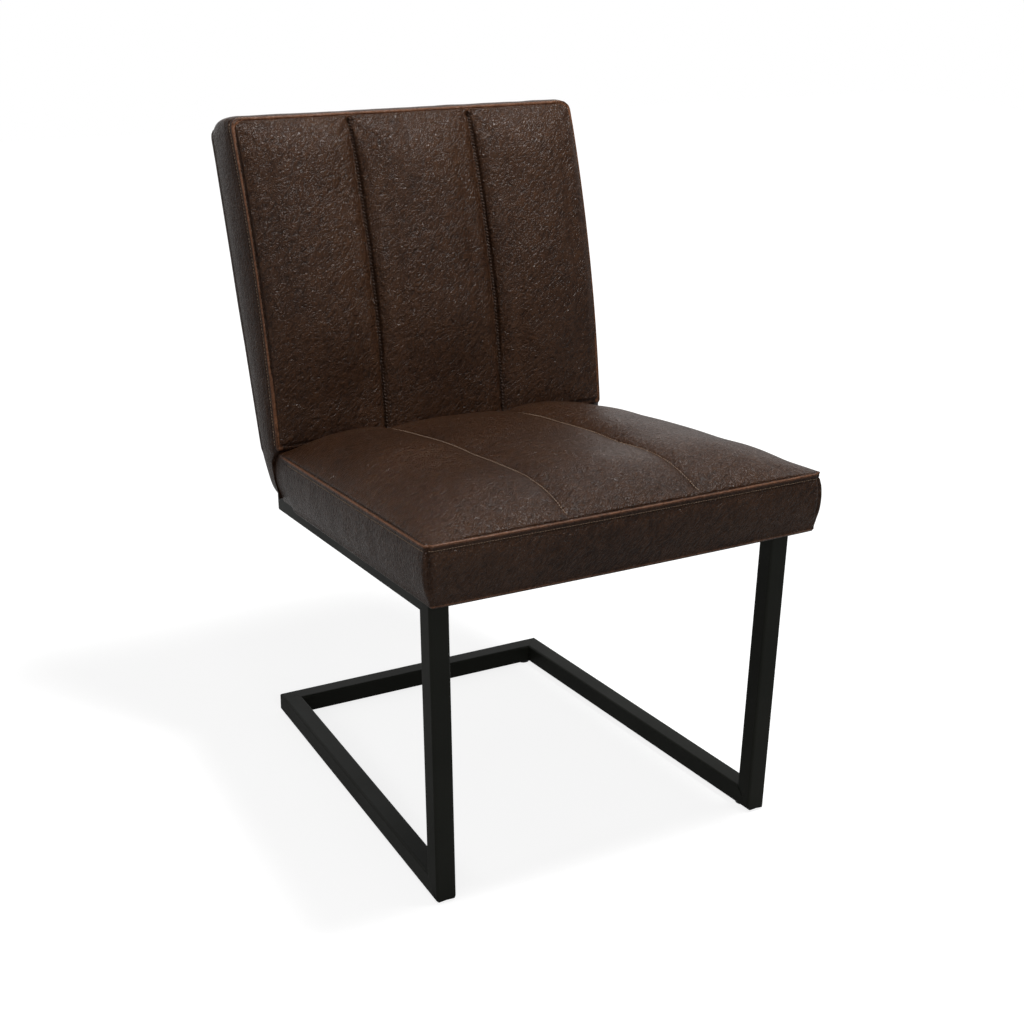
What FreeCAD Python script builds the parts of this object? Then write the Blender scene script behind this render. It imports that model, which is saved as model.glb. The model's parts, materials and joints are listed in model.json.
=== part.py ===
"""Cantilever dining chair: a square-tube steel frame under a leather seat and a leather back.

The frame is a pair of side loops, each a floor runner, a front leg and a seat rail, joined by a floor bar at
the rear and by crossbars under the upholstery. Units are millimetres. X is to the sitter's left and right,
Y runs from the front edge to the back, Z is up, and the origin is under the middle of the whole chair.
"""
import FreeCAD, Part
import math
import os
from FreeCAD import Matrix, Placement, Rotation, Vector

# Frame tube
TUBE = 25.0
TUBE_WALL = 2.0
TUBE_CORNER = 3.0

# Frame layout
BASE_FRONT_WIDTH = 468.0
BASE_REAR_WIDTH = 416.0
BASE_LENGTH = 541.0
LEG_SPLAY = 1.47
RAIL_TOP_AT_LEG = 389.0
RAIL_SLOPE = 4.84
RAIL_REACH = 489.0
FRONT_CROSSBAR_AT = 55.0
MIDDLE_CROSSBAR_AT = 340.0

# Floor glides and rail end plugs
GLIDE_HEIGHT = 3.0
GLIDE_RADIUS = 9.0
GLIDE_STEM_RADIUS = 3.0
GLIDE_STEM_LENGTH = 8.0
GLIDE_STEM_CLEARANCE = 0.1
GLIDE_SETBACK = 27.0
PLUG_CAP = 2.5
PLUG_DEPTH = 14.0
PLUG_CLEARANCE = 0.2

# Back supports inside the upholstery
UPRIGHT_WIDTH = 40.0
UPRIGHT_THICKNESS = 6.0
UPRIGHT_SPREAD = 300.0
UPRIGHT_HEIGHT = 330.0
UPRIGHT_DEPTH = 37.0
BACK_TIE_HEIGHT = 290.0

# Upholstery
LEATHER = 2.0
CHANNEL_SEAM = 87.0
PANEL_GAP = 0.2
PANEL_WRAP = 3.0

# Seat cushion, measured along and square to the top of the rails
SEAT_FRONT_OVERHANG = 37.0
SEAT_SIDE_OVERHANG = 16.3
SEAT_BOXING = 68.0
SEAT_CROWN = 30.0
SEAT_OUTER_PANEL_RISE = 19.0
SEAT_MIDDLE_PANEL_RISE = 7.0
SEAT_NOSE = 110.0
SEAT_UNDERCUT = 7.0
SEAT_SKIRT = 4.0
SEAT_SIDE_TUCK = 8.0
SEAT_SIDE_BULGE = 6.0
SEAT_FRONT_BULGE = 3.0
SEAT_CORNER = 12.0
SEAT_TO_BACK_GAP = 1.0
SEAT_REACH = 447.0
SEAT_GAP_OPENING = 2.0
SEAT_REAR_SHOULDER = 20.0
SEAT_BOARD = 12.0
DUST_COVER = 1.0
BOARD_INSET = 1.0
REST_GAP = 0.2

# Back cushion, measured up its front face from where it meets the seat
BACK_LEAN = 15.4
BACK_FOOT_Y = 429.6
BACK_FOOT_Z = 428.2
BACK_HEIGHT = 416.0
BACK_BELOW_SEAT = 78.0
BACK_SIDE_STEP = 4.4
BACK_FLARE = 4.0
BACK_THICKNESS_FOOT = 53.0
BACK_THICKNESS_TOP = 71.0
BACK_BOW = 14.0
BACK_PANEL_RISE = 15.0
BACK_CHANNEL_RISE = 2.0
BACK_SIDE_BULGE = 2.0
BACK_NOSE = 70.0
BACK_TOP_CROWN = 4.0
BACK_TOP_CORNER = 16.0
BACK_SIDE_CORNER = 14.0
BACK_FOOT_CORNER = 28.0
BACK_FOOT_CLEARANCE = 0.5
BACK_BOARD = 6.0
BACK_BOARD_MARGIN = 26.0
BACK_BOARD_FOOT = 10.0

# Fixings
BOLT_RADIUS = 3.0
BOLT_HEAD_RADIUS = 6.0
BOLT_HEAD_HEIGHT = 4.0
BOLT_CLEARANCE = 0.25
BOLT_SPREAD = 340.0
WASHER_RADIUS = 8.0
WASHER_THICKNESS = 1.5
TEE_NUT_RADIUS = 9.0
TEE_NUT_FLANGE = 1.5
TEE_NUT_BARREL = 4.0
SCREW_RADIUS = 2.5
SCREW_BITE = 5.0
SCREW_HEAD_RADIUS = 5.0
SCREW_HEAD_HEIGHT = 2.5
SCREW_SPACING = 120.0
SCREWS_PER_UPRIGHT = 3
SCREW_CLEARANCE = 0.1
SCREW_FIRST = 60.0

REACH = 2000.0
UP = Vector(0, 0, 1)
RIGHT = Vector(1, 0, 0)
BACKWARD = Vector(0, 1, 0)
SIDES = {"left": -1, "right": 1}


# Small geometry helpers
def unit(vector):
    return vector / vector.Length


def rounded_rectangle(width, height, radius):
    """A closed wire in the XY plane, centred on the origin."""
    x, y, r = width / 2, height / 2, radius
    k = r * (1 - math.sqrt(0.5))
    corners = []
    for sx, sy in ((1, 1), (-1, 1), (-1, -1), (1, -1)):
        along_x = Vector(sx * (x - r), sy * y, 0)
        along_y = Vector(sx * x, sy * (y - r), 0)
        middle = Vector(sx * (x - k), sy * (y - k), 0)
        ends = (along_y, along_x) if sx * sy > 0 else (along_x, along_y)
        corners.append((ends[0], middle, ends[1]))
    edges = []
    for i, (start, middle, end) in enumerate(corners):
        edges.append(Part.Arc(start, middle, end).toShape())
        edges.append(Part.makeLine(end, corners[(i + 1) % 4][0]))
    return Part.Wire(edges)


def hollow_profile(width, height, wall, radius):
    outer = Part.Face(rounded_rectangle(width, height, radius))
    inner = Part.Face(rounded_rectangle(width - 2 * wall, height - 2 * wall, max(radius - wall, wall / 4)))
    return outer.cut(inner)


def along(start, end, up, profile, extra=0.0):
    """Extrudes a face drawn in XY from start to end, with its Y direction towards up."""
    forward = unit(end - start)
    across = unit(up.cross(forward))
    upward = forward.cross(across)
    origin = start - forward * extra
    length = (end - start).Length + 2 * extra
    frame = Matrix(
        across.x, upward.x, forward.x, origin.x,
        across.y, upward.y, forward.y, origin.y,
        across.z, upward.z, forward.z, origin.z,
        0, 0, 0, 1,
    )
    solid = profile.extrude(Vector(0, 0, length))
    solid.Placement = Placement(frame)
    return solid


def half_space(point, normal):
    """A large block on the side of a plane that its normal points to."""
    block = Part.makeBox(2 * REACH, 2 * REACH, REACH, Vector(-REACH, -REACH, 0))
    block.Placement = Placement(point, Rotation(UP, normal))
    return block


def trim(shape, point, normal):
    return shape.cut(half_space(point, normal))


def disc(radius, thickness, base, axis=UP):
    return Part.makeCylinder(radius, thickness, base, axis)


def arc(start, middle, end):
    return Part.Arc(start, middle, end).toShape()


def group(shapes):
    return shapes[0] if len(shapes) == 1 else Part.Compound(shapes)


def mirrored(shape):
    return shape.mirror(Vector(0, 0, 0), RIGHT)


# Places that several pieces share
toe_in = (BASE_FRONT_WIDTH - BASE_REAR_WIDTH) / 2 / (BASE_LENGTH - TUBE)
runner_height = GLIDE_HEIGHT + TUBE / 2
slope = math.radians(RAIL_SLOPE)
splay = math.tan(math.radians(LEG_SPLAY))
half_tube = TUBE / 2
rail_drop = half_tube / math.cos(slope) + half_tube * math.tan(slope)

FRONT_CORNER = Vector(BASE_FRONT_WIDTH / 2 - half_tube, half_tube, runner_height)
REAR_CORNER = Vector(BASE_REAR_WIDTH / 2 - half_tube, BASE_LENGTH - half_tube, runner_height)
RAIL_CORNER_Z = RAIL_TOP_AT_LEG - rail_drop
RAIL_CORNER = Vector(
    FRONT_CORNER.x + splay * (RAIL_CORNER_Z - runner_height), half_tube, RAIL_CORNER_Z
)


def rail_centre(y):
    run = y - RAIL_CORNER.y
    return Vector(RAIL_CORNER.x - toe_in * run, y, RAIL_CORNER.z - math.tan(slope) * run)


RAIL_END = rail_centre(RAIL_REACH)
seat_front_half_width = rail_centre(-SEAT_FRONT_OVERHANG).x + half_tube + SEAT_SIDE_OVERHANG
seat_rear_half_width = seat_front_half_width - toe_in * (SEAT_REACH + SEAT_FRONT_OVERHANG)
back_half_width_foot = seat_rear_half_width + BACK_SIDE_STEP
back_half_width_top = back_half_width_foot + BACK_FLARE

# The seat's own directions: length runs down the rails to the rear, lift is square to them
seat_frame = Placement(Vector(0, 0, RAIL_TOP_AT_LEG), Rotation(RIGHT, -RAIL_SLOPE))
seat_length_axis = Vector(0, math.cos(slope), -math.sin(slope))
seat_lift_axis = Vector(0, math.sin(slope), math.cos(slope))

# The back's own directions: rise runs up its front face, depth is square to it and points to the rear
lean = math.radians(BACK_LEAN)
back_rise_axis = Vector(0, math.sin(lean), math.cos(lean))
back_depth_axis = Vector(0, math.cos(lean), -math.sin(lean))
back_frame = Placement(Vector(0, BACK_FOOT_Y, BACK_FOOT_Z), Rotation(RIGHT, 90 - BACK_LEAN))


def back_point(x, rise, depth):
    return Vector(x, BACK_FOOT_Y, BACK_FOOT_Z) + back_rise_axis * rise + back_depth_axis * depth


def seat_point(x, length, lift):
    return Vector(x, 0, RAIL_TOP_AT_LEG) + seat_length_axis * length + seat_lift_axis * lift


# Steel frame, one side at a time on the +X side
def frame_tubes():
    profile = hollow_profile(TUBE, TUBE, TUBE_WALL, TUBE_CORNER)
    rear_middle = Vector(0, REAR_CORNER.y, REAR_CORNER.z)
    up_leg = unit(RAIL_CORNER - FRONT_CORNER)
    down_runner = unit(FRONT_CORNER - REAR_CORNER)
    along_rail = unit(RAIL_END - RAIL_CORNER)
    out_of_bar = unit(REAR_CORNER - rear_middle)
    rear_mitre = unit(out_of_bar + down_runner)
    floor_mitre = unit(down_runner + up_leg)
    top_mitre = unit(up_leg + along_rail)

    runner = along(REAR_CORNER, FRONT_CORNER, UP, profile, TUBE)
    runner = trim(trim(runner, REAR_CORNER, -rear_mitre), FRONT_CORNER, floor_mitre)
    leg = along(FRONT_CORNER, RAIL_CORNER, BACKWARD, profile, TUBE)
    leg = trim(trim(leg, FRONT_CORNER, -floor_mitre), RAIL_CORNER, top_mitre)
    rail = along(RAIL_CORNER - along_rail * TUBE, RAIL_END, UP, profile)
    rail = trim(rail, RAIL_CORNER, -top_mitre)

    bar = along(Vector(-REAR_CORNER.x, REAR_CORNER.y, REAR_CORNER.z), REAR_CORNER, UP, profile, TUBE)
    bar = trim(bar, REAR_CORNER, rear_mitre)
    left_corner = Vector(-REAR_CORNER.x, REAR_CORNER.y, REAR_CORNER.z)
    left_mitre = Vector(-rear_mitre.x, rear_mitre.y, rear_mitre.z)
    bar = trim(bar, left_corner, left_mitre)
    return runner, leg, rail, bar


def glide_centres():
    """Two glides under the fronts of the runners and two under the ends of the rear bar."""
    front_x = FRONT_CORNER.x - toe_in * (GLIDE_SETBACK - half_tube)
    front = [Vector(sign * front_x, GLIDE_SETBACK, 0) for sign in SIDES.values()]
    rear_x = REAR_CORNER.x + half_tube - GLIDE_SETBACK
    rear = [Vector(sign * rear_x, REAR_CORNER.y, 0) for sign in SIDES.values()]
    return front + rear


def glide(centre):
    pad = disc(GLIDE_RADIUS, GLIDE_HEIGHT, centre)
    stem = disc(GLIDE_STEM_RADIUS, GLIDE_HEIGHT + GLIDE_STEM_LENGTH, centre)
    return pad.fuse(stem).removeSplitter()


def glide_hole(centre):
    radius = GLIDE_STEM_RADIUS + GLIDE_STEM_CLEARANCE
    return disc(radius, GLIDE_HEIGHT + TUBE_WALL + 2, centre + UP)


def rail_plug():
    outward = unit(RAIL_END - RAIL_CORNER)
    cap_end = RAIL_END + outward * PLUG_CAP
    cap = along(RAIL_END, cap_end, UP, Part.Face(rounded_rectangle(TUBE, TUBE, TUBE_CORNER)))
    inside = TUBE - 2 * TUBE_WALL - 2 * PLUG_CLEARANCE
    plug_face = Part.Face(rounded_rectangle(inside, inside, TUBE_CORNER / 2))
    plug = along(RAIL_END - outward * PLUG_DEPTH, cap_end, UP, plug_face)
    return cap.fuse(plug).removeSplitter()


def crossbar(y):
    """A tube between the rails, its ends cut to their inner faces."""
    profile = hollow_profile(TUBE, TUBE, TUBE_WALL, TUBE_CORNER)
    centre = rail_centre(y)
    rail_across = unit(UP.cross(RAIL_CORNER - RAIL_END))
    inner_face = centre - rail_across * half_tube
    bar = along(Vector(-centre.x, centre.y, centre.z), centre, seat_lift_axis, profile)
    bar = trim(bar, inner_face, rail_across)
    left_face = Vector(-inner_face.x, inner_face.y, inner_face.z)
    return trim(bar, left_face, Vector(-rail_across.x, rail_across.y, rail_across.z))


# Back supports
def back_block(half_width, low, high, depth, thickness, middle=0.0):
    """A flat block that lies across the back, between two heights up its front face."""
    block = Part.makeBox(
        2 * half_width, high - low, thickness, Vector(middle - half_width, low, -depth - thickness)
    )
    block.Placement = back_frame
    return block


def crossbar_under_back_y():
    """The rear crossbar stands where the uprights come down out of the back."""
    depth = UPRIGHT_DEPTH + UPRIGHT_THICKNESS / 2
    to_top = seat_lift_axis * half_tube
    y = BACK_FOOT_Y
    for _ in range(8):
        foot = rail_centre(y) + to_top
        rise = (foot - Vector(foot.x, BACK_FOOT_Y, BACK_FOOT_Z)).dot(back_rise_axis)
        y = back_point(0, rise, depth).y - to_top.y
    return y


def upright(crossbar_y):
    """A flat bar that stands on the rear crossbar."""
    bar = back_block(
        UPRIGHT_WIDTH / 2, -BACK_BELOW_SEAT - TUBE, UPRIGHT_HEIGHT, UPRIGHT_DEPTH, UPRIGHT_THICKNESS,
        UPRIGHT_SPREAD / 2,
    )
    return trim(bar, rail_centre(crossbar_y) + seat_lift_axis * half_tube, -seat_lift_axis)


def back_tie():
    """A flat bar between the two uprights near their tops."""
    reach = UPRIGHT_SPREAD / 2 - UPRIGHT_WIDTH / 2
    half = UPRIGHT_WIDTH / 2
    return back_block(
        reach, BACK_TIE_HEIGHT - half, BACK_TIE_HEIGHT + half, UPRIGHT_DEPTH, UPRIGHT_THICKNESS
    )


# Cushion sections: X across, Y up the thickness, drawn at a place along the length
def section(place, half_width, tuck, bulge, base, seam, channel, outer_rise, middle_rise):
    """A closed section: flat base, drawn-in sides, and three crowned panels between four seams."""

    def at(x, lift):
        return Vector(x, place, lift)

    def crown(x0, lift0, x1, lift1, rise):
        return arc(at(x0, lift0), at((x0 + x1) / 2, (lift0 + lift1) / 2 + rise), at(x1, lift1))

    low, high = half_width - tuck, half_width
    middle = (low + high) / 2 + bulge
    half = (base + seam) / 2
    return Part.Wire([
        Part.makeLine(at(-low, base), at(low, base)),
        arc(at(low, base), at(middle, half), at(high, seam)),
        crown(high, seam, CHANNEL_SEAM, channel, outer_rise),
        crown(CHANNEL_SEAM, channel, -CHANNEL_SEAM, channel, middle_rise),
        crown(-CHANNEL_SEAM, channel, -high, seam, outer_rise),
        arc(at(-high, seam), at(-middle, half), at(-low, base)),
    ])


def eased(share, power=2.2):
    """Rises quickly from 0 and levels out at 1."""
    share = min(max(share, 0.0), 1.0)
    return 1 - (1 - share) ** power


# The line where the seat meets the back, seen from the side: down the back's face, then under it
junction_top = Vector(0, BACK_FOOT_Y, BACK_FOOT_Z)
junction_bottom_z = RAIL_TOP_AT_LEG - 3 * TUBE
junction = [
    junction_top,
    Vector(0, SEAT_REACH - SEAT_TO_BACK_GAP, BACK_FOOT_Z - SEAT_REAR_SHOULDER),
    Vector(0, SEAT_REACH, junction_bottom_z),
]


def side_prism(points):
    """A wide prism with an outline in the YZ plane."""
    outline = Part.makePolygon([Vector(-REACH / 4, p.y, p.z) for p in points + points[:1]])
    return Part.Face(outline).extrude(Vector(REACH / 2, 0, 0))


def behind_seat(inset):
    """What the back takes from the seat: everything behind the junction, which opens with the back's bow."""
    forward = BACKWARD * (SEAT_TO_BACK_GAP + inset)
    opening = 4 * BACK_BOW / BACK_HEIGHT + math.tan(math.radians(SEAT_GAP_OPENING))
    high = junction_top + (back_rise_axis - back_depth_axis * opening) * BACK_HEIGHT / 2
    line = [point - forward for point in [high] + junction]
    return side_prism(line + [Vector(0, REACH / 2, junction_bottom_z), Vector(0, REACH / 2, high.z)])


def under_back(inset):
    """What the seat takes from the back: everything in front of the junction and below its top."""
    line = [point + BACKWARD * inset for point in junction]
    return side_prism(line + [Vector(0, -REACH / 4, junction_bottom_z), Vector(0, -REACH / 4, junction_top.z)])


# Seat cushion
seat_start = -SEAT_FRONT_OVERHANG
seat_end = (Vector(0, SEAT_REACH, RAIL_TOP_AT_LEG) - Vector(0, 0, RAIL_TOP_AT_LEG)).dot(seat_length_axis)
seat_span = seat_end - seat_start


def seat_fullness(length):
    """How much of the full crown the seat has at a place along it."""
    front = eased((length - seat_start) / SEAT_NOSE)
    past_middle = max(0.0, (length - seat_start - seat_span / 2) / (seat_span * 0.65))
    return max(front * (1 - past_middle ** 2), 0.04)


def seat_form(inset):
    """The seat cushion's outer form down to the skirt, or the same form drawn in by an inset."""
    shares = (0.0, 0.015, 0.045, 0.1, 0.2, 0.36, 0.55, 0.75, 0.9, 1.04)
    sections = []
    for share in shares:
        place = seat_start + share * seat_span
        full = seat_fullness(place)
        sections.append(section(
            place,
            seat_front_half_width - toe_in * (place - seat_start) - inset,
            SEAT_SIDE_TUCK,
            SEAT_SIDE_BULGE,
            -SEAT_SKIRT,
            SEAT_BOXING - inset,
            SEAT_BOXING + SEAT_CROWN * full - inset,
            SEAT_OUTER_PANEL_RISE * full,
            SEAT_MIDDLE_PANEL_RISE * full,
        ))
    body = Part.makeLoft(sections, True, False)
    body = body.common(seat_outline(inset))
    body = body.common(seat_side_profile(inset))
    body.Placement = seat_frame
    return body.cut(behind_seat(inset))


def seat_outline(inset):
    """A tall prism with the seat's plan: rounded front corners and a slightly bowed front."""
    front = seat_start + inset
    half = seat_front_half_width - inset
    wide = half + TUBE
    corner = SEAT_CORNER - inset
    tuck = corner * (1 - math.sqrt(0.5))
    edge = half - corner

    def at(x, y):
        return Vector(x, y, -REACH / 4)

    wire = Part.Wire([
        arc(at(-edge, front + SEAT_FRONT_BULGE), at(0, front), at(edge, front + SEAT_FRONT_BULGE)),
        arc(
            at(edge, front + SEAT_FRONT_BULGE),
            at(half - tuck, front + SEAT_FRONT_BULGE + tuck),
            at(half, front + SEAT_FRONT_BULGE + corner),
        ),
        Part.makeLine(at(half, front + SEAT_FRONT_BULGE + corner), at(wide, seat_end + TUBE)),
        Part.makeLine(at(wide, seat_end + TUBE), at(-wide, seat_end + TUBE)),
        Part.makeLine(at(-wide, seat_end + TUBE), at(-half, front + SEAT_FRONT_BULGE + corner)),
        arc(
            at(-half, front + SEAT_FRONT_BULGE + corner),
            at(-half + tuck, front + SEAT_FRONT_BULGE + tuck),
            at(-edge, front + SEAT_FRONT_BULGE),
        ),
    ])
    return Part.Face(wire).extrude(Vector(0, 0, REACH / 2))


def seat_side_profile(inset):
    """The seat seen from the side: its front boxing leans in towards the legs."""
    front = seat_start + inset
    foot = front + SEAT_UNDERCUT
    tall = SEAT_BOXING + 3 * SEAT_CROWN
    half = SEAT_BOXING / 2

    def at(length, lift):
        return Vector(-REACH / 4, length, lift)

    wire = Part.Wire([
        arc(at(foot, -TUBE), at(front + SEAT_UNDERCUT / 3, half), at(front, SEAT_BOXING)),
        Part.makeLine(at(front, SEAT_BOXING), at(front, tall)),
        Part.makeLine(at(front, tall), at(seat_end + TUBE, tall)),
        Part.makeLine(at(seat_end + TUBE, tall), at(seat_end + TUBE, -TUBE)),
        Part.makeLine(at(seat_end + TUBE, -TUBE), at(foot, -TUBE)),
    ])
    return Part.Face(wire).extrude(Vector(REACH / 2, 0, 0))


def seat_slab(low, high):
    """A wide slab between two heights over the rails."""
    slab = Part.makeBox(REACH, REACH, high - low, Vector(-REACH / 2, -REACH / 2, low))
    slab.Placement = seat_frame
    return slab


def seat_pieces():
    base = DUST_COVER + SEAT_BOARD
    skin = seat_form(0.0).cut(seat_form(LEATHER))
    filling = seat_form(LEATHER + BOARD_INSET)
    pieces = {
        "seat_foam": seat_form(LEATHER + PANEL_GAP).common(seat_slab(base, REACH / 4)),
        "seat_board": filling.common(seat_slab(DUST_COVER, base)),
        "seat_dust_cover": filling.common(seat_slab(REST_GAP, DUST_COVER)),
    }
    seam = SEAT_BOXING - PANEL_WRAP
    pieces.update(three_panels(skin.common(seat_slab(seam, REACH / 4)), "seat_top"))
    boxing = skin.common(seat_slab(-TUBE, seam - PANEL_GAP))
    front, rest = split_at_corners(boxing, seat_front_half_width, seat_start, -seat_length_axis)
    rear, sides = split_at_corners(rest, seat_rear_half_width, seat_end, seat_length_axis)
    pieces["seat_front_boxing"] = front
    pieces["seat_rear_boxing"] = rear.common(seat_slab(REST_GAP, seam))
    pieces["seat_left_boxing"] = trim(sides, Vector(0, 0, 0), RIGHT)
    pieces["seat_right_boxing"] = trim(sides, Vector(0, 0, 0), -RIGHT)
    return pieces


def split_at_corners(skin, half_width, length, outward):
    """Cuts a wall off a ring of boxing along a plane through each of its two corners, at 45 degrees."""
    wall, rest = skin, []
    for sign in SIDES.values():
        corner = seat_point(sign * half_width, length, 0)
        normal = unit(RIGHT * sign - outward)
        rest.append(trim(skin, corner + normal * PANEL_GAP, -normal))
        wall = trim(wall, corner, normal)
    return wall, rest[0].fuse(rest[1])


def three_panels(skin, name):
    """Cuts a crowned skin along its two channel seams."""
    gap = PANEL_GAP / 2
    left = trim(skin, Vector(-CHANNEL_SEAM - gap, 0, 0), RIGHT)
    right = trim(skin, Vector(CHANNEL_SEAM + gap, 0, 0), -RIGHT)
    middle = trim(trim(skin, Vector(-CHANNEL_SEAM + gap, 0, 0), -RIGHT), Vector(CHANNEL_SEAM - gap, 0, 0), RIGHT)
    return {f"{name}_left_panel": left, f"{name}_middle_panel": middle, f"{name}_right_panel": right}


# Back cushion. In its own frame Y is the rise and Z points forwards, out of the front face
def back_thickness(rise):
    share = rise / BACK_HEIGHT
    return BACK_THICKNESS_FOOT + (BACK_THICKNESS_TOP - BACK_THICKNESS_FOOT) * share


def back_bow(rise):
    """How far the seam round the front face bows forwards, an arc of a circle over the rise."""
    half = BACK_HEIGHT / 2
    if rise <= 0 or rise >= BACK_HEIGHT:
        return 0.0
    radius = (half ** 2 + BACK_BOW ** 2) / (2 * BACK_BOW)
    return math.sqrt(radius ** 2 - (rise - half) ** 2) - (radius - BACK_BOW)


def back_fullness(rise):
    bottom = min(max((rise - BACK_NOSE / 4) / (2 * BACK_NOSE), 0.0), 1.0)
    top = eased((BACK_HEIGHT - rise) / BACK_NOSE)
    return max(bottom ** 2 * (3 - 2 * bottom) * top, 0.04)


def back_form(inset):
    shares = (-1.0, -0.4, 0.0, 0.06, 0.15, 0.28, 0.45, 0.62, 0.78, 0.9, 0.965, 1.0)
    rear = BACK_THICKNESS_TOP + TUBE
    sections = []
    for share in shares:
        rise = share * (BACK_HEIGHT if share > 0 else BACK_BELOW_SEAT)
        full = back_fullness(rise)
        half_width = back_half_width_foot + (back_half_width_top - back_half_width_foot) * rise / BACK_HEIGHT
        seam = back_bow(rise) - inset
        sections.append(section(
            rise,
            half_width - inset,
            BACK_SIDE_BULGE,
            BACK_SIDE_BULGE,
            -rear,
            seam,
            seam + BACK_CHANNEL_RISE * full,
            BACK_PANEL_RISE * full,
            BACK_PANEL_RISE * full,
        ))
    body = Part.makeLoft(sections, True, False)
    body = body.common(back_side_profile(inset))
    body = body.common(back_front_outline(inset))
    body.Placement = back_frame
    foot = seat_point(0, 0, BACK_FOOT_CLEARANCE + inset)
    return trim(body, foot, -seat_lift_axis).cut(under_back(inset))


def back_front_outline(inset):
    """A prism with the back's outline seen from the front, with its two top corners rounded."""
    half = back_half_width_top + BACK_SIDE_BULGE - inset
    wide = half + TUBE
    high = BACK_HEIGHT + 2 * BACK_TOP_CROWN
    top = BACK_HEIGHT + BACK_TOP_CROWN / 2 - inset
    corner = BACK_SIDE_CORNER - inset
    tuck = corner * (1 - math.sqrt(0.5))

    def at(x, rise):
        return Vector(x, rise, -REACH / 4)

    wire = Part.Wire([
        Part.makeLine(at(-wide, -REACH / 4), at(wide, -REACH / 4)),
        Part.makeLine(at(wide, -REACH / 4), at(wide, top - corner)),
        Part.makeLine(at(wide, top - corner), at(half, top - corner)),
        arc(at(half, top - corner), at(half - tuck, top - tuck), at(half - corner, top)),
        Part.makeLine(at(half - corner, top), at(half - corner, high)),
        Part.makeLine(at(half - corner, high), at(corner - half, high)),
        Part.makeLine(at(corner - half, high), at(corner - half, top)),
        arc(at(corner - half, top), at(tuck - half, top - tuck), at(-half, top - corner)),
        Part.makeLine(at(-half, top - corner), at(-wide, top - corner)),
        Part.makeLine(at(-wide, top - corner), at(-wide, -REACH / 4)),
    ])
    return Part.Face(wire).extrude(Vector(0, 0, REACH / 2))


def back_side_profile(inset):
    """The back seen from the side: a crowned top and rounded rear corners, thicker towards the top."""
    top = BACK_HEIGHT - inset
    front = BACK_BOW + BACK_PANEL_RISE + TUBE
    rear_lean = Vector(0, BACK_HEIGHT, -(BACK_THICKNESS_TOP - BACK_THICKNESS_FOOT))
    rear_up = unit(rear_lean)

    def at(rise, forward):
        return Vector(-REACH / 4, rise, forward)

    def rear_at(rise):
        return at(rise, inset - back_thickness(rise))

    low = lowest_rise_at_rear() + inset
    top_radius = BACK_TOP_CORNER - inset
    foot_radius = BACK_FOOT_CORNER - inset
    top_tuck = top_radius * (1 - math.sqrt(0.5))
    foot_tuck = foot_radius * (1 - math.sqrt(0.5))
    top_rear = rear_at(top)
    foot_rear = rear_at(low)
    into = Vector(0, 0, 1)
    top_start = top_rear + into * top_radius
    top_end = top_rear - rear_up * top_radius
    foot_start = foot_rear + rear_up * foot_radius
    foot_end = foot_rear + into * foot_radius
    crown_middle = at(top + BACK_TOP_CROWN, -back_thickness(top) / 2)
    deep = at(low - 2 * TUBE, foot_end.z)
    wire = Part.Wire([
        arc(at(top, 0), crown_middle, top_start),
        arc(top_start, top_rear + into * top_tuck - rear_up * top_tuck, top_end),
        Part.makeLine(top_end, foot_start),
        arc(foot_start, foot_rear + into * foot_tuck + rear_up * foot_tuck, foot_end),
        Part.makeLine(foot_end, deep),
        Part.makeLine(deep, at(low - 2 * TUBE, front)),
        Part.makeLine(at(low - 2 * TUBE, front), at(top, front)),
        Part.makeLine(at(top, front), at(top, 0)),
    ])
    return Part.Face(wire).extrude(Vector(REACH / 2, 0, 0))


def lowest_rise_at_rear():
    """Where the back's rear face comes down to the top of the rails."""
    foot = seat_point(0, 0, BACK_FOOT_CLEARANCE)
    rise = -BACK_BELOW_SEAT
    for _ in range(8):
        corner = back_point(0, rise, back_thickness(rise))
        rise -= (corner - foot).dot(seat_lift_axis)
    return rise


def front_zone(forward):
    """Everything in front of the bowed seam round the back's front face."""
    half = BACK_HEIGHT / 2
    deep = REACH / 4

    def at(rise, out):
        return Vector(-REACH / 4, rise, out)

    wire = Part.Wire([
        Part.makeLine(at(-deep, forward), at(0, forward)),
        arc(at(0, forward), at(half, forward + BACK_BOW), at(BACK_HEIGHT, forward)),
        Part.makeLine(at(BACK_HEIGHT, forward), at(REACH / 2, forward)),
        Part.makeLine(at(REACH / 2, forward), at(REACH / 2, deep)),
        Part.makeLine(at(REACH / 2, deep), at(-deep, deep)),
        Part.makeLine(at(-deep, deep), at(-deep, forward)),
    ])
    zone = Part.Face(wire).extrude(Vector(REACH / 2, 0, 0))
    zone.Placement = back_frame
    return zone


def back_board():
    """A plywood board behind the uprights."""
    half = back_half_width_foot - BACK_BOARD_MARGIN
    depth = UPRIGHT_DEPTH + UPRIGHT_THICKNESS
    return back_block(half, BACK_BOARD_FOOT, BACK_HEIGHT - BACK_BOARD_MARGIN, depth, BACK_BOARD)


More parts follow.
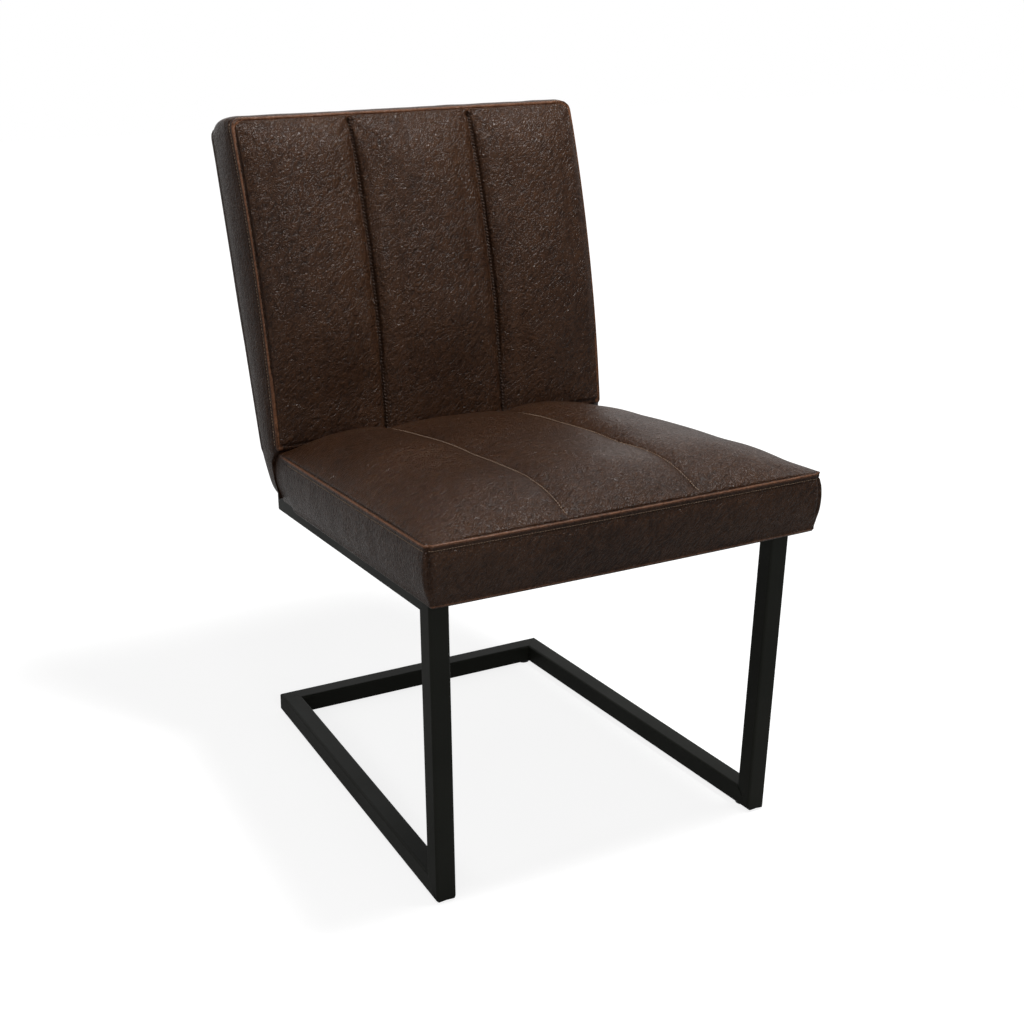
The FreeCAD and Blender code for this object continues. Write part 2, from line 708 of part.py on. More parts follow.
def back_pieces(cores):
    outer = back_form(0.0)
    inner = back_form(LEATHER)
    skin = outer.cut(inner)
    foam = back_form(LEATHER + PANEL_GAP)
    for core in cores:
        foam = foam.cut(core)
        skin = skin.cut(core)
    pieces = {"back_foam": foam}
    front = skin.common(front_zone(-PANEL_WRAP))
    band = skin.cut(front_zone(-PANEL_WRAP - PANEL_GAP))
    pieces.update(three_panels(front, "back_front"))

    widening = back_half_width_top - back_half_width_foot
    seam_x = back_half_width_foot - LEATHER - PANEL_WRAP
    for side, sign in SIDES.items():
        outward = unit(RIGHT * (sign * BACK_HEIGHT) - back_rise_axis * widening)
        seam = back_point(sign * seam_x, 0, 0)
        pieces[f"back_{side}_boxing"] = trim(band, seam + outward * PANEL_GAP, -outward)
        band = trim(band, seam, outward)

    top_seam = back_point(0, BACK_HEIGHT - BACK_SIDE_CORNER, 0)
    rear_seam = back_point(0, 0, back_thickness(0) - LEATHER)
    thickening = BACK_THICKNESS_TOP - BACK_THICKNESS_FOOT
    rear_normal = unit(back_depth_axis * BACK_HEIGHT - back_rise_axis * thickening)
    top = trim(band, top_seam, -back_rise_axis)
    pieces["back_top_boxing"] = trim(top, rear_seam - rear_normal * PANEL_GAP, rear_normal)
    below = trim(band, top_seam - back_rise_axis * PANEL_GAP, back_rise_axis)
    behind = trim(band, rear_seam, -rear_normal)
    pieces["back_rear_panel"] = below.fuse(behind).removeSplitter()
    return pieces


# Fixings
def bolt_places():
    spread = BOLT_SPREAD / 2
    for y in (FRONT_CROSSBAR_AT, MIDDLE_CROSSBAR_AT):
        centre = rail_centre(y)
        for sign in SIDES.values():
            yield Vector(sign * spread, centre.y, centre.z)


def seat_fixings():
    """Bolts up through the crossbars into tee nuts that sit in the seat board."""
    bolts, washers, nuts, holes = [], [], [], []
    stack = half_tube + DUST_COVER + SEAT_BOARD
    for centre in bolt_places():
        under = centre - seat_lift_axis * half_tube
        washer_low = under - seat_lift_axis * WASHER_THICKNESS
        head_low = washer_low - seat_lift_axis * BOLT_HEAD_HEIGHT
        length = BOLT_HEAD_HEIGHT + WASHER_THICKNESS + TUBE + DUST_COVER + SEAT_BOARD - TEE_NUT_FLANGE
        shank = disc(BOLT_RADIUS, length, head_low, seat_lift_axis)
        head = disc(BOLT_HEAD_RADIUS, BOLT_HEAD_HEIGHT, head_low, seat_lift_axis)
        bolts.append(head.fuse(shank).removeSplitter())
        hole = disc(BOLT_RADIUS + BOLT_CLEARANCE, WASHER_THICKNESS, washer_low, seat_lift_axis)
        washers.append(disc(WASHER_RADIUS, WASHER_THICKNESS, washer_low, seat_lift_axis).cut(hole))
        board_top = centre + seat_lift_axis * stack
        board_low = centre + seat_lift_axis * (half_tube + DUST_COVER)
        flange = disc(TEE_NUT_RADIUS, TEE_NUT_FLANGE, board_top - seat_lift_axis * TEE_NUT_FLANGE, seat_lift_axis)
        barrel = disc(TEE_NUT_BARREL, SEAT_BOARD, board_low, seat_lift_axis)
        nut = flange.fuse(barrel).removeSplitter()
        bore = disc(BOLT_RADIUS + BOLT_CLEARANCE, TUBE + 2 * SEAT_BOARD, under - seat_lift_axis, seat_lift_axis)
        nuts.append(nut.cut(bore))
        holes.append((nut, bore))
    return bolts, washers, nuts, holes


def back_screws():
    """Screws through the plywood into the uprights."""
    screws, holes = [], []
    outer = UPRIGHT_DEPTH + UPRIGHT_THICKNESS + BACK_BOARD
    length = BACK_BOARD + SCREW_BITE
    for sign in SIDES.values():
        for step in range(SCREWS_PER_UPRIGHT):
            face = back_point(sign * UPRIGHT_SPREAD / 2, SCREW_FIRST + step * SCREW_SPACING, outer)
            tip = face - back_depth_axis * length
            head = disc(SCREW_HEAD_RADIUS, SCREW_HEAD_HEIGHT, face, back_depth_axis)
            shank = disc(SCREW_RADIUS, length + SCREW_HEAD_HEIGHT, tip, back_depth_axis)
            screws.append(head.fuse(shank).removeSplitter())
            holes.append(disc(SCREW_RADIUS + SCREW_CLEARANCE, 2 * length, tip, back_depth_axis))
    return screws, holes


def build():
    runner, leg, rail, rear_bar = frame_tubes()
    for centre in glide_centres():
        runner = runner.cut(glide_hole(centre))
        rear_bar = rear_bar.cut(glide_hole(centre))
    parts = {"rear_floor_bar": rear_bar}
    for name, shape in (("floor_runner", runner), ("front_leg", leg), ("seat_rail", rail)):
        parts["right_" + name] = shape
        parts["left_" + name] = mirrored(shape)
    parts["rail_end_plugs"] = group([rail_plug(), mirrored(rail_plug())])
    parts["floor_glides"] = group([glide(centre) for centre in glide_centres()])

    under_back_y = crossbar_under_back_y()
    bars = {
        "front_crossbar": crossbar(FRONT_CROSSBAR_AT),
        "middle_crossbar": crossbar(MIDDLE_CROSSBAR_AT),
        "rear_crossbar": crossbar(under_back_y),
    }
    support, tie, board = upright(under_back_y), back_tie(), back_board()
    screws, screw_holes = back_screws()
    supports = {
        "right_back_upright": support,
        "left_back_upright": mirrored(support),
        "back_tie": tie,
        "back_board": board,
    }
    cores = list(supports.values()) + screws
    for name in supports:
        for hole in screw_holes:
            supports[name] = supports[name].cut(hole)
    parts.update(supports)
    parts["back_screws"] = group(screws)
    parts.update(back_pieces(cores))

    bolts, washers, nuts, holes = seat_fixings()
    seat = seat_pieces()
    for nut, bore in holes:
        seat["seat_board"] = seat["seat_board"].cut(nut).cut(bore)
        seat["seat_dust_cover"] = seat["seat_dust_cover"].cut(bore)
        for name in bars:
            bars[name] = bars[name].cut(bore)
    parts.update(seat)
    parts.update(bars)
    parts["seat_bolts"] = group(bolts)
    parts["seat_washers"] = group(washers)
    parts["seat_tee_nuts"] = group(nuts)
    return parts


def main():
    parts = build()
    box = FreeCAD.BoundBox()
    for shape in parts.values():
        box.add(shape.optimalBoundingBox(False))
    to_middle = Vector(0, -(box.YMin + box.YMax) / 2, 0)
    os.makedirs("parts", exist_ok=True)
    for name, shape in parts.items():
        shape.translate(to_middle)
        print(name, len(shape.Solids), "solids", round(shape.Volume / 1000, 2), "cm3", shape.isValid())
        shape.exportStep(f"parts/{name}.step")
    print("moved along Y by", round(to_middle.y, 3), "overall", [round(v, 1) for v in (box.XLength, box.YLength, box.ZLength)])


main()
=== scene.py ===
"""The looks of a leather cantilever dining chair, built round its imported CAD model. Units are metres."""
import json
import math

import bpy
import numpy as np
from mathutils import Matrix, Vector
from mathutils.bvhtree import BVHTree


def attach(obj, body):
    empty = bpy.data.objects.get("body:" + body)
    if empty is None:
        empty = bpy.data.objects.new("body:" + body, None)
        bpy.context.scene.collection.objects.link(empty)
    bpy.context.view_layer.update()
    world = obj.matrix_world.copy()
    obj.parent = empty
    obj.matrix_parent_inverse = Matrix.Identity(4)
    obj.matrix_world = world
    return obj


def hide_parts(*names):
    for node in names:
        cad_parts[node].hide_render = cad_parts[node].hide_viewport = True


MM = 0.001

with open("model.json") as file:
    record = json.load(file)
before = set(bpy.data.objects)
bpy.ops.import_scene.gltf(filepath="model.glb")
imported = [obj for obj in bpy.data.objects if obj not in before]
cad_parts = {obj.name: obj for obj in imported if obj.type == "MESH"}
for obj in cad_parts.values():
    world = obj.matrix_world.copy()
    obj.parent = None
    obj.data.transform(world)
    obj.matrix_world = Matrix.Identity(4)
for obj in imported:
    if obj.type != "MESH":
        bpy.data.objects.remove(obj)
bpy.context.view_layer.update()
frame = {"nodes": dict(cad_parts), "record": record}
nodes = frame["nodes"]

# The chair's layout, in millimetres, with Y counted from the front faces of the legs
LEG_FRONT_Y = -286.207
RAIL_TOP_AT_LEG = 389.0
RAIL_SLOPE = math.radians(4.84)
TOE_IN = 0.0504
CHANNEL_SEAM = 87.0

SEAT_START = -37.0
SEAT_LENGTH = 484.0
SEAT_FRONT_HALF_WIDTH = 262.0
SEAT_BOXING = 68.0
SEAT_SKIRT = 4.0
SEAT_CROWN = 30.0
SEAT_NOSE = 110.0
SEAT_REACH = 445.5
SEAT_SHOULDER = 20.0

BACK_FOOT = (429.6, 428.2)
BACK_LEAN = math.radians(15.4)
BACK_HEIGHT = 416.0
BACK_BELOW = 76.0
BACK_HALF_FOOT = 242.0
BACK_FLARE = 4.0
BACK_THICKNESS_FOOT = 53.0
BACK_THICKNESS_TOP = 71.0
BACK_BOW = 14.0
BACK_TOTAL = BACK_HEIGHT + BACK_BELOW

# Fullness of the panels, in millimetres over their seams
SEAT_OUTER_CROWN = 19.0
SEAT_MIDDLE_CROWN = 7.0
BACK_CROWN = 15.0
BACK_PADDING = 2.0

# Seams, corners and edges, in millimetres
LIP_HEIGHT = 1.5
LIP_AT = 2.3
LIP_START = 0.9
LIP_END = 3.9
STITCH_AT = 8.0
SEAT_CORNER = 11.0
BACK_CORNER = 13.0
BACK_TOP_CORNER = 15.0
BACK_REAR_FOOT_CORNER = 27.0
BACK_EDGE_ROLL = 4.5
UNDER_COVER = 1.6

# Where the seat and the back meet, and the foot of the back, in millimetres but for the slant
BACK_FRONT_ROOM = 1.0
MEETING_GAP = 0.8
BACK_BEHIND_LINE = 0.2
BACK_BEHIND_REACH = 0.6
BACK_OVER_RAIL = 0.6
BACK_FOOT_SLANT = 0.185
BACK_FOOT_TUCK = 9.0

# Grids of the two cushions: marks in millimetres from a seam, and steps as shares of the whole
SEAM_MARKS = (1.0, 2.2, 3.6, 6.0, 13.0)
WALL_MARKS = (12, 9.4, 8, 6.6, 4.6, 3.4, 2.3, 1.2)
SEAT_GRID_HALF = 250
BACK_GRID_HALF = 244
BACK_GRID_DEPTH = 75
BACK_GRID_DEPTH_TOP = 85
CHANNEL_MARGIN = 0.02
STEP_ACROSS = 0.027
STEP_ALONG = 0.0145
NEARLY_ONE = 1 - 1e-6
NEARLY_NONE = 1e-6


# Relief: waves in the slow noise, and how squarely a face of the back looks to the rear
NOISE_WAVES = 24
REAR_FACING = -0.7

# Cloth that swells the cushions
CLOTH_FRAMES = 16
CLOTH_PRESSURE = 4.0
CLOTH_STIFFNESS = 15
CLOTH_BENDING = 2.0
CLOTH_LIMIT = 5.0

# Threads of the stitches. A ring is a place along the thread and a share of its radius
THREAD_SIDES = 6
THREAD_RINGS = ((-0.5, 0.35), (-0.3, 0.9), (0.0, 1.0), (0.3, 0.9), (0.5, 0.35))
THREAD_BEDDED = 0.45
THREAD_RISE = 1.3
PATH_POINTS = 1500
SEAT_CHANNEL_ASIDE = 1.3
BACK_CHANNEL_ASIDE = 2.4
GATHER_SLANT = 0.9
RAY_ABOVE = 25
RAY_LENGTH = 60

# Colours of the leather, from the hollows of its grain to the crests; the hollows are darkened as painted
# shade
LEATHER_TONES = ((0.014, 0.0054, 0.0022), (0.033, 0.0140, 0.0064), (0.060, 0.029, 0.0155))
# Lighter leather for the raised lips along the seams: a painted highlight
LIP_HIGHLIGHT_TONES = ((0.050, 0.020, 0.009), (0.105, 0.044, 0.021), (0.17, 0.078, 0.042))

# Colours of the other materials, dark and light
COAT_TONES = ((0.0105, 0.0112, 0.0085), (0.0145, 0.0152, 0.0118))
THREAD_TONES = ((0.17, 0.11, 0.075), (0.42, 0.30, 0.21))
GATHER_TONES = ((0.035, 0.018, 0.011), (0.095, 0.055, 0.035))
PLASTIC_TONES = ((0.010, 0.010, 0.010), (0.02, 0.02, 0.02))
ZINC_TONES = ((0.45, 0.46, 0.47), (0.62, 0.63, 0.64))
PLYWOOD_TONES = ((0.36, 0.22, 0.11), (0.52, 0.35, 0.19))
FOAM_TONES = ((0.55, 0.50, 0.38), (0.70, 0.65, 0.52))
DUST_CLOTH_TONES = ((0.010, 0.010, 0.010), (0.028, 0.028, 0.028))

# Floor and room, in metres and in the strength of their light
FLOOR_HALF = 6.0
FLOOR_DEPTH = -0.0005
FLOOR_GLOW = 0.82
FLOOR_GLOW_NEAR = 0.9
FLOOR_GLOW_FAR = 2.2
MIRRORED_SHARE = 0.2
ROOM_LIGHT = 0.20
ROOM_MIRRORED = 0.06
BACKDROP_MIRRORED = 0.7
BACKDROP_FROM = 0.7

# Lamps: name, place, what it points at, size and watts
LAMPS = (
    ("top", (0.45, -0.38, 2.55), (0, 0, 0.5), 0.45, 56),
    ("front", (-0.55, -2.7, 1.5), (0, 0, 0.55), 0.5, 14),
    ("left", (-2.4, -0.2, 1.5), (0, 0, 0.5), 0.8, 7),
)

# Camera: the place and lens that the photograph was taken with
CAMERA_PLACE = (-997.083, -1504.870, 1104.916)
CAMERA_YAW = math.radians(29.602)
CAMERA_PITCH = math.radians(20.217)
CAMERA_ROLL = math.radians(0.809)
CAMERA_FOCAL_PIXELS = 1702.503
PHOTO_PIXELS = 1024
SENSOR = 36.0


def chair_point(x, y, z):
    """Millimetres from the legs' front faces to metres in the CAD frame."""
    return Vector((x, y + LEG_FRONT_Y, z)) * MM


def make_camera():
    yaw, pitch, roll = CAMERA_YAW, CAMERA_PITCH, CAMERA_ROLL
    forward = Vector((math.sin(yaw) * math.cos(pitch), math.cos(yaw) * math.cos(pitch), -math.sin(pitch)))
    right = Vector((math.cos(yaw), -math.sin(yaw), 0))
    up = right.cross(forward)
    rolled_right = right * math.cos(roll) + up * math.sin(roll)
    rolled_up = up * math.cos(roll) - right * math.sin(roll)
    data = bpy.data.cameras.new("camera")
    data.sensor_width = SENSOR
    data.lens = CAMERA_FOCAL_PIXELS * SENSOR / PHOTO_PIXELS
    data.clip_end = 50
    camera = bpy.data.objects.new("camera", data)
    turn = Matrix((rolled_right, rolled_up, -forward)).transposed().to_4x4()
    camera.matrix_world = Matrix.Translation(chair_point(*CAMERA_PLACE)) @ turn
    bpy.context.collection.objects.link(camera)
    bpy.context.scene.camera = camera


make_camera()


# Small mesh helpers
def new_object(name, points, faces, material, smooth=True):
    mesh = bpy.data.meshes.new(name)
    mesh.from_pydata([tuple(p) for p in points], [], [tuple(f) for f in faces])
    mesh.update()
    if smooth:
        mesh.polygons.foreach_set("use_smooth", np.ones(len(mesh.polygons), bool))
    thing = bpy.data.objects.new(name, mesh)
    bpy.context.collection.objects.link(thing)
    if material:
        mesh.materials.append(material)
    return thing


def points_of(thing):
    count = len(thing.data.vertices)
    points = np.empty(count * 3)
    thing.data.vertices.foreach_get("co", points)
    return points.reshape(-1, 3)


def set_points(thing, points):
    thing.data.vertices.foreach_set("co", points.astype(np.float32).ravel())
    thing.data.update()


def normals_of(thing):
    normals = np.empty(len(thing.data.vertices) * 3)
    thing.data.vertices.foreach_get("normal", normals)
    return normals.reshape(-1, 3)


def apply_modifiers(thing):
    graph = bpy.context.evaluated_depsgraph_get()
    mesh = bpy.data.meshes.new_from_object(thing.evaluated_get(graph))
    old = thing.data
    thing.modifiers.clear()
    thing.data = mesh
    bpy.data.meshes.remove(old)


def subdivide(thing, levels):
    modifier = thing.modifiers.new("subdivision", "SUBSURF")
    modifier.levels = modifier.render_levels = levels
    modifier.boundary_smooth = "PRESERVE_CORNERS"
    apply_modifiers(thing)


def smoothstep(value):
    value = np.clip(value, 0, 1)
    return value * value * (3 - 2 * value)


def grid_lines(marks, step):
    """Grid lines through every mark and, in the wider gaps, about a step apart."""
    lines = [marks[0]]
    for start, end in zip(marks, marks[1:]):
        count = max(1, int(round((end - start) / step)))
        lines.extend(start + (end - start) * np.linspace(0, 1, count + 1)[1:])
    return np.array(lines)


def mirrored(marks):
    """Marks on both sides of zero, from the positive ones."""
    return [-m for m in reversed(marks)] + list(marks)


def box_shell(us, vs, ws):
    """The six faces of a box of grid lines as a closed mesh: its points' places on the lines, and quads."""
    nu, nv, nw = len(us), len(vs), len(ws)
    index, keys, quads = {}, [], []

    def vertex(i, j, k):
        key = (i, j, k)
        if key not in index:
            index[key] = len(keys)
            keys.append(key)
        return index[key]

    def sheet(a_count, b_count, place, flip):
        for a in range(a_count - 1):
            for b in range(b_count - 1):
                quad = [vertex(*place(a, b)), vertex(*place(a + 1, b)),
                        vertex(*place(a + 1, b + 1)), vertex(*place(a, b + 1))]
                quads.append(quad[::-1] if flip else quad)

    sheet(nu, nv, lambda a, b: (a, b, nw - 1), False)
    sheet(nu, nv, lambda a, b: (a, b, 0), True)
    sheet(nu, nw, lambda a, b: (a, 0, b), False)
    sheet(nu, nw, lambda a, b: (a, nv - 1, b), True)
    sheet(nv, nw, lambda a, b: (0, a, b), True)
    sheet(nv, nw, lambda a, b: (nu - 1, a, b), False)
    keys = np.array(keys)
    return us[keys[:, 0]], vs[keys[:, 1]], ws[keys[:, 2]], quads


def wave_noise(points, size, seed):
    """Smooth noise between about -1 and 1: seeded waves, each about a size long in the points' units."""
    random = np.random.default_rng(seed)
    total = np.zeros(len(points))
    for _ in range(NOISE_WAVES):
        direction = random.normal(size=3)
        direction /= np.linalg.norm(direction)
        wave = 2 * math.pi / (size * random.uniform(0.7, 1.5))
        total += np.sin(points @ direction * wave + random.uniform(0, 2 * math.pi))
    return total / math.sqrt(NOISE_WAVES)


# Material helpers
def new_material(name):
    material = bpy.data.materials.new(name)
    material.use_nodes = True
    tree = material.node_tree
    tree.nodes.clear()
    output = tree.nodes.new("ShaderNodeOutputMaterial")
    shader = tree.nodes.new("ShaderNodeBsdfPrincipled")
    tree.links.new(shader.outputs["BSDF"], output.inputs["Surface"])
    return material, tree, shader


def add(tree, kind, **settings):
    """A new node, with its inputs set by name or number and its own settings by attribute."""
    node = tree.nodes.new(kind)
    inputs = settings.pop("inputs", {})
    for key, value in settings.items():
        setattr(node, key, value)
    for key, value in inputs.items():
        if isinstance(value, bpy.types.NodeSocket):
            tree.links.new(value, node.inputs[key])
        else:
            node.inputs[key].default_value = value
    return node


def maths(tree, operation, *values):
    return add(tree, "ShaderNodeMath", operation=operation, inputs=dict(enumerate(values))).outputs[0]


def ramp(tree, value, stops):
    """A colour ramp from (place, colour) pairs."""
    node = add(tree, "ShaderNodeValToRGB", inputs={"Fac": value})
    elements = node.color_ramp.elements
    while len(elements) < len(stops):
        elements.new(0.5)
    for element, (place, colour) in zip(elements, stops):
        element.position = place
        element.color = (*colour, 1)
    return node.outputs["Color"]


def grey(value):
    return (value, value, value)


def place_input(tree, stretch=(1, 1, 1), turn=(0, 0, 0)):
    coordinates = add(tree, "ShaderNodeTexCoord")
    mapping = add(tree, "ShaderNodeMapping", inputs={
        "Vector": coordinates.outputs["Object"], "Scale": stretch, "Rotation": turn,
    })
    return mapping.outputs["Vector"]


def leather_material(name, tones, roughness, grain):
    """Grained leather: fine pebbles, slanting wrinkles, and a slow change of brown over the hide."""
    dark, middle, light = tones
    material, tree, shader = new_material(name)
    place = place_input(tree)
    bent = add(tree, "ShaderNodeTexNoise", inputs={"Vector": place, "Scale": 45.0, "Detail": 2.0})
    # Inputs 4 and 5 and output 1 of a Mix node are its vectors
    warped = add(tree, "ShaderNodeMix", data_type="VECTOR", inputs={
        "Factor": 0.010, 4: place, 5: bent.outputs["Color"],
    }).outputs[1]
    pebbles = add(tree, "ShaderNodeTexVoronoi", feature="DISTANCE_TO_EDGE", inputs={
        "Vector": warped, "Scale": 330.0, "Randomness": 1.0,
    })
    slanted = add(tree, "ShaderNodeMapping", vector_type="TEXTURE", inputs={
        "Vector": warped, "Rotation": (0.0, -0.75, 0.35), "Scale": (2.4, 1.0, 1.0),
    }).outputs["Vector"]
    strokes = add(tree, "ShaderNodeTexNoise", inputs={
        "Vector": slanted, "Scale": 300.0, "Detail": 2.0, "Roughness": 0.5, "Distortion": 0.6,
    })
    deep = add(tree, "ShaderNodeTexNoise", inputs={
        "Vector": slanted, "Scale": 120.0, "Detail": 4.0, "Roughness": 0.6, "Distortion": 0.6,
    })
    pebble_height = maths(tree, "MINIMUM", pebbles.outputs["Distance"], 0.22)
    height = maths(tree, "MULTIPLY", pebble_height, 0.8)
    height = maths(tree, "ADD", height, maths(tree, "MULTIPLY", strokes.outputs["Fac"], 1.15))
    height = maths(tree, "ADD", height, maths(tree, "MULTIPLY", deep.outputs["Fac"], 0.7))
    bump = add(tree, "ShaderNodeBump", inputs={
        "Strength": grain, "Distance": 0.0019, "Height": height,
    })
    tree.links.new(bump.outputs["Normal"], shader.inputs["Normal"])
    patches = add(tree, "ShaderNodeTexNoise", inputs={
        "Vector": place, "Scale": 6.0, "Detail": 4.0, "Roughness": 0.55,
    })
    # The grain's hollows are darker and its crests lighter: painted shade, added to the slow change of brown
    tone = maths(tree, "ADD", maths(tree, "MULTIPLY", patches.outputs["Fac"], 0.45),
                 maths(tree, "MULTIPLY", maths(tree, "SUBTRACT", height, 0.60), 0.62))
    colour = ramp(tree, tone, [(0.28, dark), (0.50, middle), (0.80, light)])
    tree.links.new(colour, shader.inputs["Base Color"])
    rough = ramp(tree, tone, [(0.3, grey(roughness + 0.10)), (0.8, grey(roughness - 0.06))])
    tree.links.new(rough, shader.inputs["Roughness"])
    shader.inputs["Specular IOR Level"].default_value = 0.16
    return material


def powder_coat_material():
    """Satin black powder coat, with its fine orange peel and edges that catch a little light."""
    material, tree, shader = new_material("black_powder_coat")
    place = place_input(tree)
    peel = add(tree, "ShaderNodeTexNoise", inputs={"Vector": place, "Scale": 800.0, "Detail": 2.0})
    cloud = add(tree, "ShaderNodeTexNoise", inputs={"Vector": place, "Scale": 9.0, "Detail": 3.0})
    edge = add(tree, "ShaderNodeBevel", samples=4, inputs={"Radius": 0.0012})
    bump = add(tree, "ShaderNodeBump", inputs={
        "Strength": 0.12, "Distance": 0.0004, "Height": peel.outputs["Fac"], "Normal": edge.outputs["Normal"],
    })
    tree.links.new(bump.outputs["Normal"], shader.inputs["Normal"])
    dark, light = COAT_TONES
    colour = ramp(tree, cloud.outputs["Fac"], [(0.3, dark), (0.7, light)])
    tree.links.new(colour, shader.inputs["Base Color"])
    rough = ramp(tree, cloud.outputs["Fac"], [(0.3, grey(0.50)), (0.7, grey(0.42))])
    tree.links.new(rough, shader.inputs["Roughness"])
    shader.inputs["Specular IOR Level"].default_value = 0.10
    return material


def simple_material(name, tones, scale, roughness, bump_strength, metallic=0.0, stretch=(1, 1, 1)):
    """A material whose colour and height vary with one noise."""
    low, high = tones
    material, tree, shader = new_material(name)
    place = place_input(tree, stretch)
    noise = add(tree, "ShaderNodeTexNoise", inputs={"Vector": place, "Scale": scale, "Detail": 4.0})
    tree.links.new(ramp(tree, noise.outputs["Fac"], [(0.3, low), (0.7, high)]), shader.inputs["Base Color"])
    bump = add(tree, "ShaderNodeBump", inputs={
        "Strength": bump_strength, "Distance": 0.0005, "Height": noise.outputs["Fac"],
    })
    tree.links.new(bump.outputs["Normal"], shader.inputs["Normal"])
    shader.inputs["Roughness"].default_value = roughness
    shader.inputs["Metallic"].default_value = metallic
    return material


leather = leather_material("brown_leather", LEATHER_TONES, roughness=0.27, grain=1.0)
# The lips' leather is lighter than the rest: a painted highlight
lip_highlight_leather = leather_material("lip_painted_highlight_leather", LIP_HIGHLIGHT_TONES, roughness=0.36, grain=0.5)
thread = simple_material("brown_thread", THREAD_TONES, 1500.0, 0.6, 0.3)
gather_thread = simple_material("dark_thread", GATHER_TONES, 1500.0, 0.55, 0.3)
powder_coat = powder_coat_material()
black_plastic = simple_material("black_plastic", PLASTIC_TONES, 500.0, 0.5, 0.1)
zinc = simple_material("zinc_plate", ZINC_TONES, 250.0, 0.32, 0.1, metallic=1.0)
plywood = simple_material("plywood", PLYWOOD_TONES, 60.0, 0.6, 0.3, stretch=(1, 12, 12))
foam = simple_material("foam", FOAM_TONES, 700.0, 0.9, 0.6)
dust_cloth = simple_material("dust_cloth", DUST_CLOTH_TONES, 1100.0, 0.9, 0.5)

SLOT_MATERIALS = {
    "leather": leather,
    "black_powder_coat": powder_coat,
    "black_plastic": black_plastic,
    "zinc_plated_steel": zinc,
    "plywood": plywood,
    "foam": foam,
    "dust_cover": dust_cloth,
}
for part in frame["record"]["subparts"]:
    mesh = nodes[part["node"]].data
    mesh.materials.clear()
    mesh.materials.append(SLOT_MATERIALS[part["material_slot"]])


# Each cushion has its own directions: across, along (down the rails, or up the lean) and square to both
SEAT_ORIGIN = np.array([0, 0, RAIL_TOP_AT_LEG])
SEAT_AXES = np.array([
    [1, 0, 0],
    [0, math.cos(RAIL_SLOPE), -math.sin(RAIL_SLOPE)],
    [0, math.sin(RAIL_SLOPE), math.cos(RAIL_SLOPE)],
])
BACK_ORIGIN = np.array([0, *BACK_FOOT])
BACK_AXES = np.array([
    [1, 0, 0],
    [0, math.sin(BACK_LEAN), math.cos(BACK_LEAN)],
    [0, -math.cos(BACK_LEAN), math.sin(BACK_LEAN)],
])


def to_frame(local, origin, axes):
    """A cushion's own millimetres to metres in the CAD frame."""
    points = origin + local @ axes
    points[:, 1] += LEG_FRONT_Y
    return points * MM


def to_local(points, origin, axes):
    """The reverse of to_frame."""
    local = points / MM - [0, LEG_FRONT_Y, 0] - origin
    return local @ axes.T


def eased(share, power):
    return 1 - (1 - np.clip(share, 0, 1)) ** power


def seat_fullness(length):
    front = eased((length - SEAT_START) / SEAT_NOSE, 2.2)
    past_middle = np.maximum(0, (length - SEAT_START - SEAT_LENGTH / 2) / (SEAT_LENGTH * 0.65))
    return front * (1 - past_middle ** 2)


def panel_crown(x, half, outer, middle, power=2.0):
    """The height of three crowned panels over the straight lines between their seams."""
    size = np.abs(x)
    out = np.clip((size - CHANNEL_SEAM) / np.maximum(half - CHANNEL_SEAM, 1), 0, 1)
    inside = 1 - np.clip(size / CHANNEL_SEAM, 0, 1) ** power
    outside = 1 - np.abs(2 * out - 1) ** power
    return np.where(size < CHANNEL_SEAM, middle * inside, outer * outside)


def pull_round(first, second, first_limit, second_limit, radius):
    """Moves points in a square corner onto an arc that touches both limits."""
    dx, dy = first - (first_limit - radius), second - (second_limit - radius)
    inside = (dx > 0) & (dy > 0)
    scale = np.where(inside, np.maximum(dx, dy) / np.maximum(np.hypot(dx, dy), 1e-6), 1)
    first = np.where(inside, first_limit - radius + dx * scale, first)
    second = np.where(inside, second_limit - radius + dy * scale, second)
    return first, second


def rounded_inset(first, second, radius):
    """How far a point lies inside a rounded corner, from its distances to the two edges."""
    in_corner = (first < radius) & (second < radius)
    round_one = radius - np.hypot(radius - first, radius - second)
    return np.where(in_corner, round_one, np.minimum(first, second))


def bell(value, centre, width):
    return np.exp(-((value - centre) / width) ** 2)


def seam_edge(side, along_wall):
    """The relief of a lapped and topstitched seam, by the distance from it on either side, in millimetres."""
    panel = -2.4 * bell(side, 0, 1.5)
    wall = LIP_HEIGHT * bell(along_wall, LIP_AT, 1.5) - 1.9 * bell(along_wall, 0, 0.9)
    wall -= 1.1 * bell(along_wall, STITCH_AT, 1.2)
    wall += 1.0 * smoothstep((along_wall - STITCH_AT - 1) / 10)
    return panel, wall


def crease(thing, lines, weight):
    """Sharpens, for subdivision, the edges that join two points of one line."""
    mesh = thing.data
    ends = np.empty(len(mesh.edges) * 2, int)
    mesh.edges.foreach_get("vertices", ends)
    ends = ends.reshape(-1, 2)
    layer = mesh.attributes.get("crease_edge") or mesh.attributes.new("crease_edge", "FLOAT", "EDGE")
    values = np.empty(len(mesh.edges), np.float32)
    layer.data.foreach_get("value", values)
    for line in lines:
        values[line[ends].all(1)] = weight
    layer.data.foreach_set("value", values)


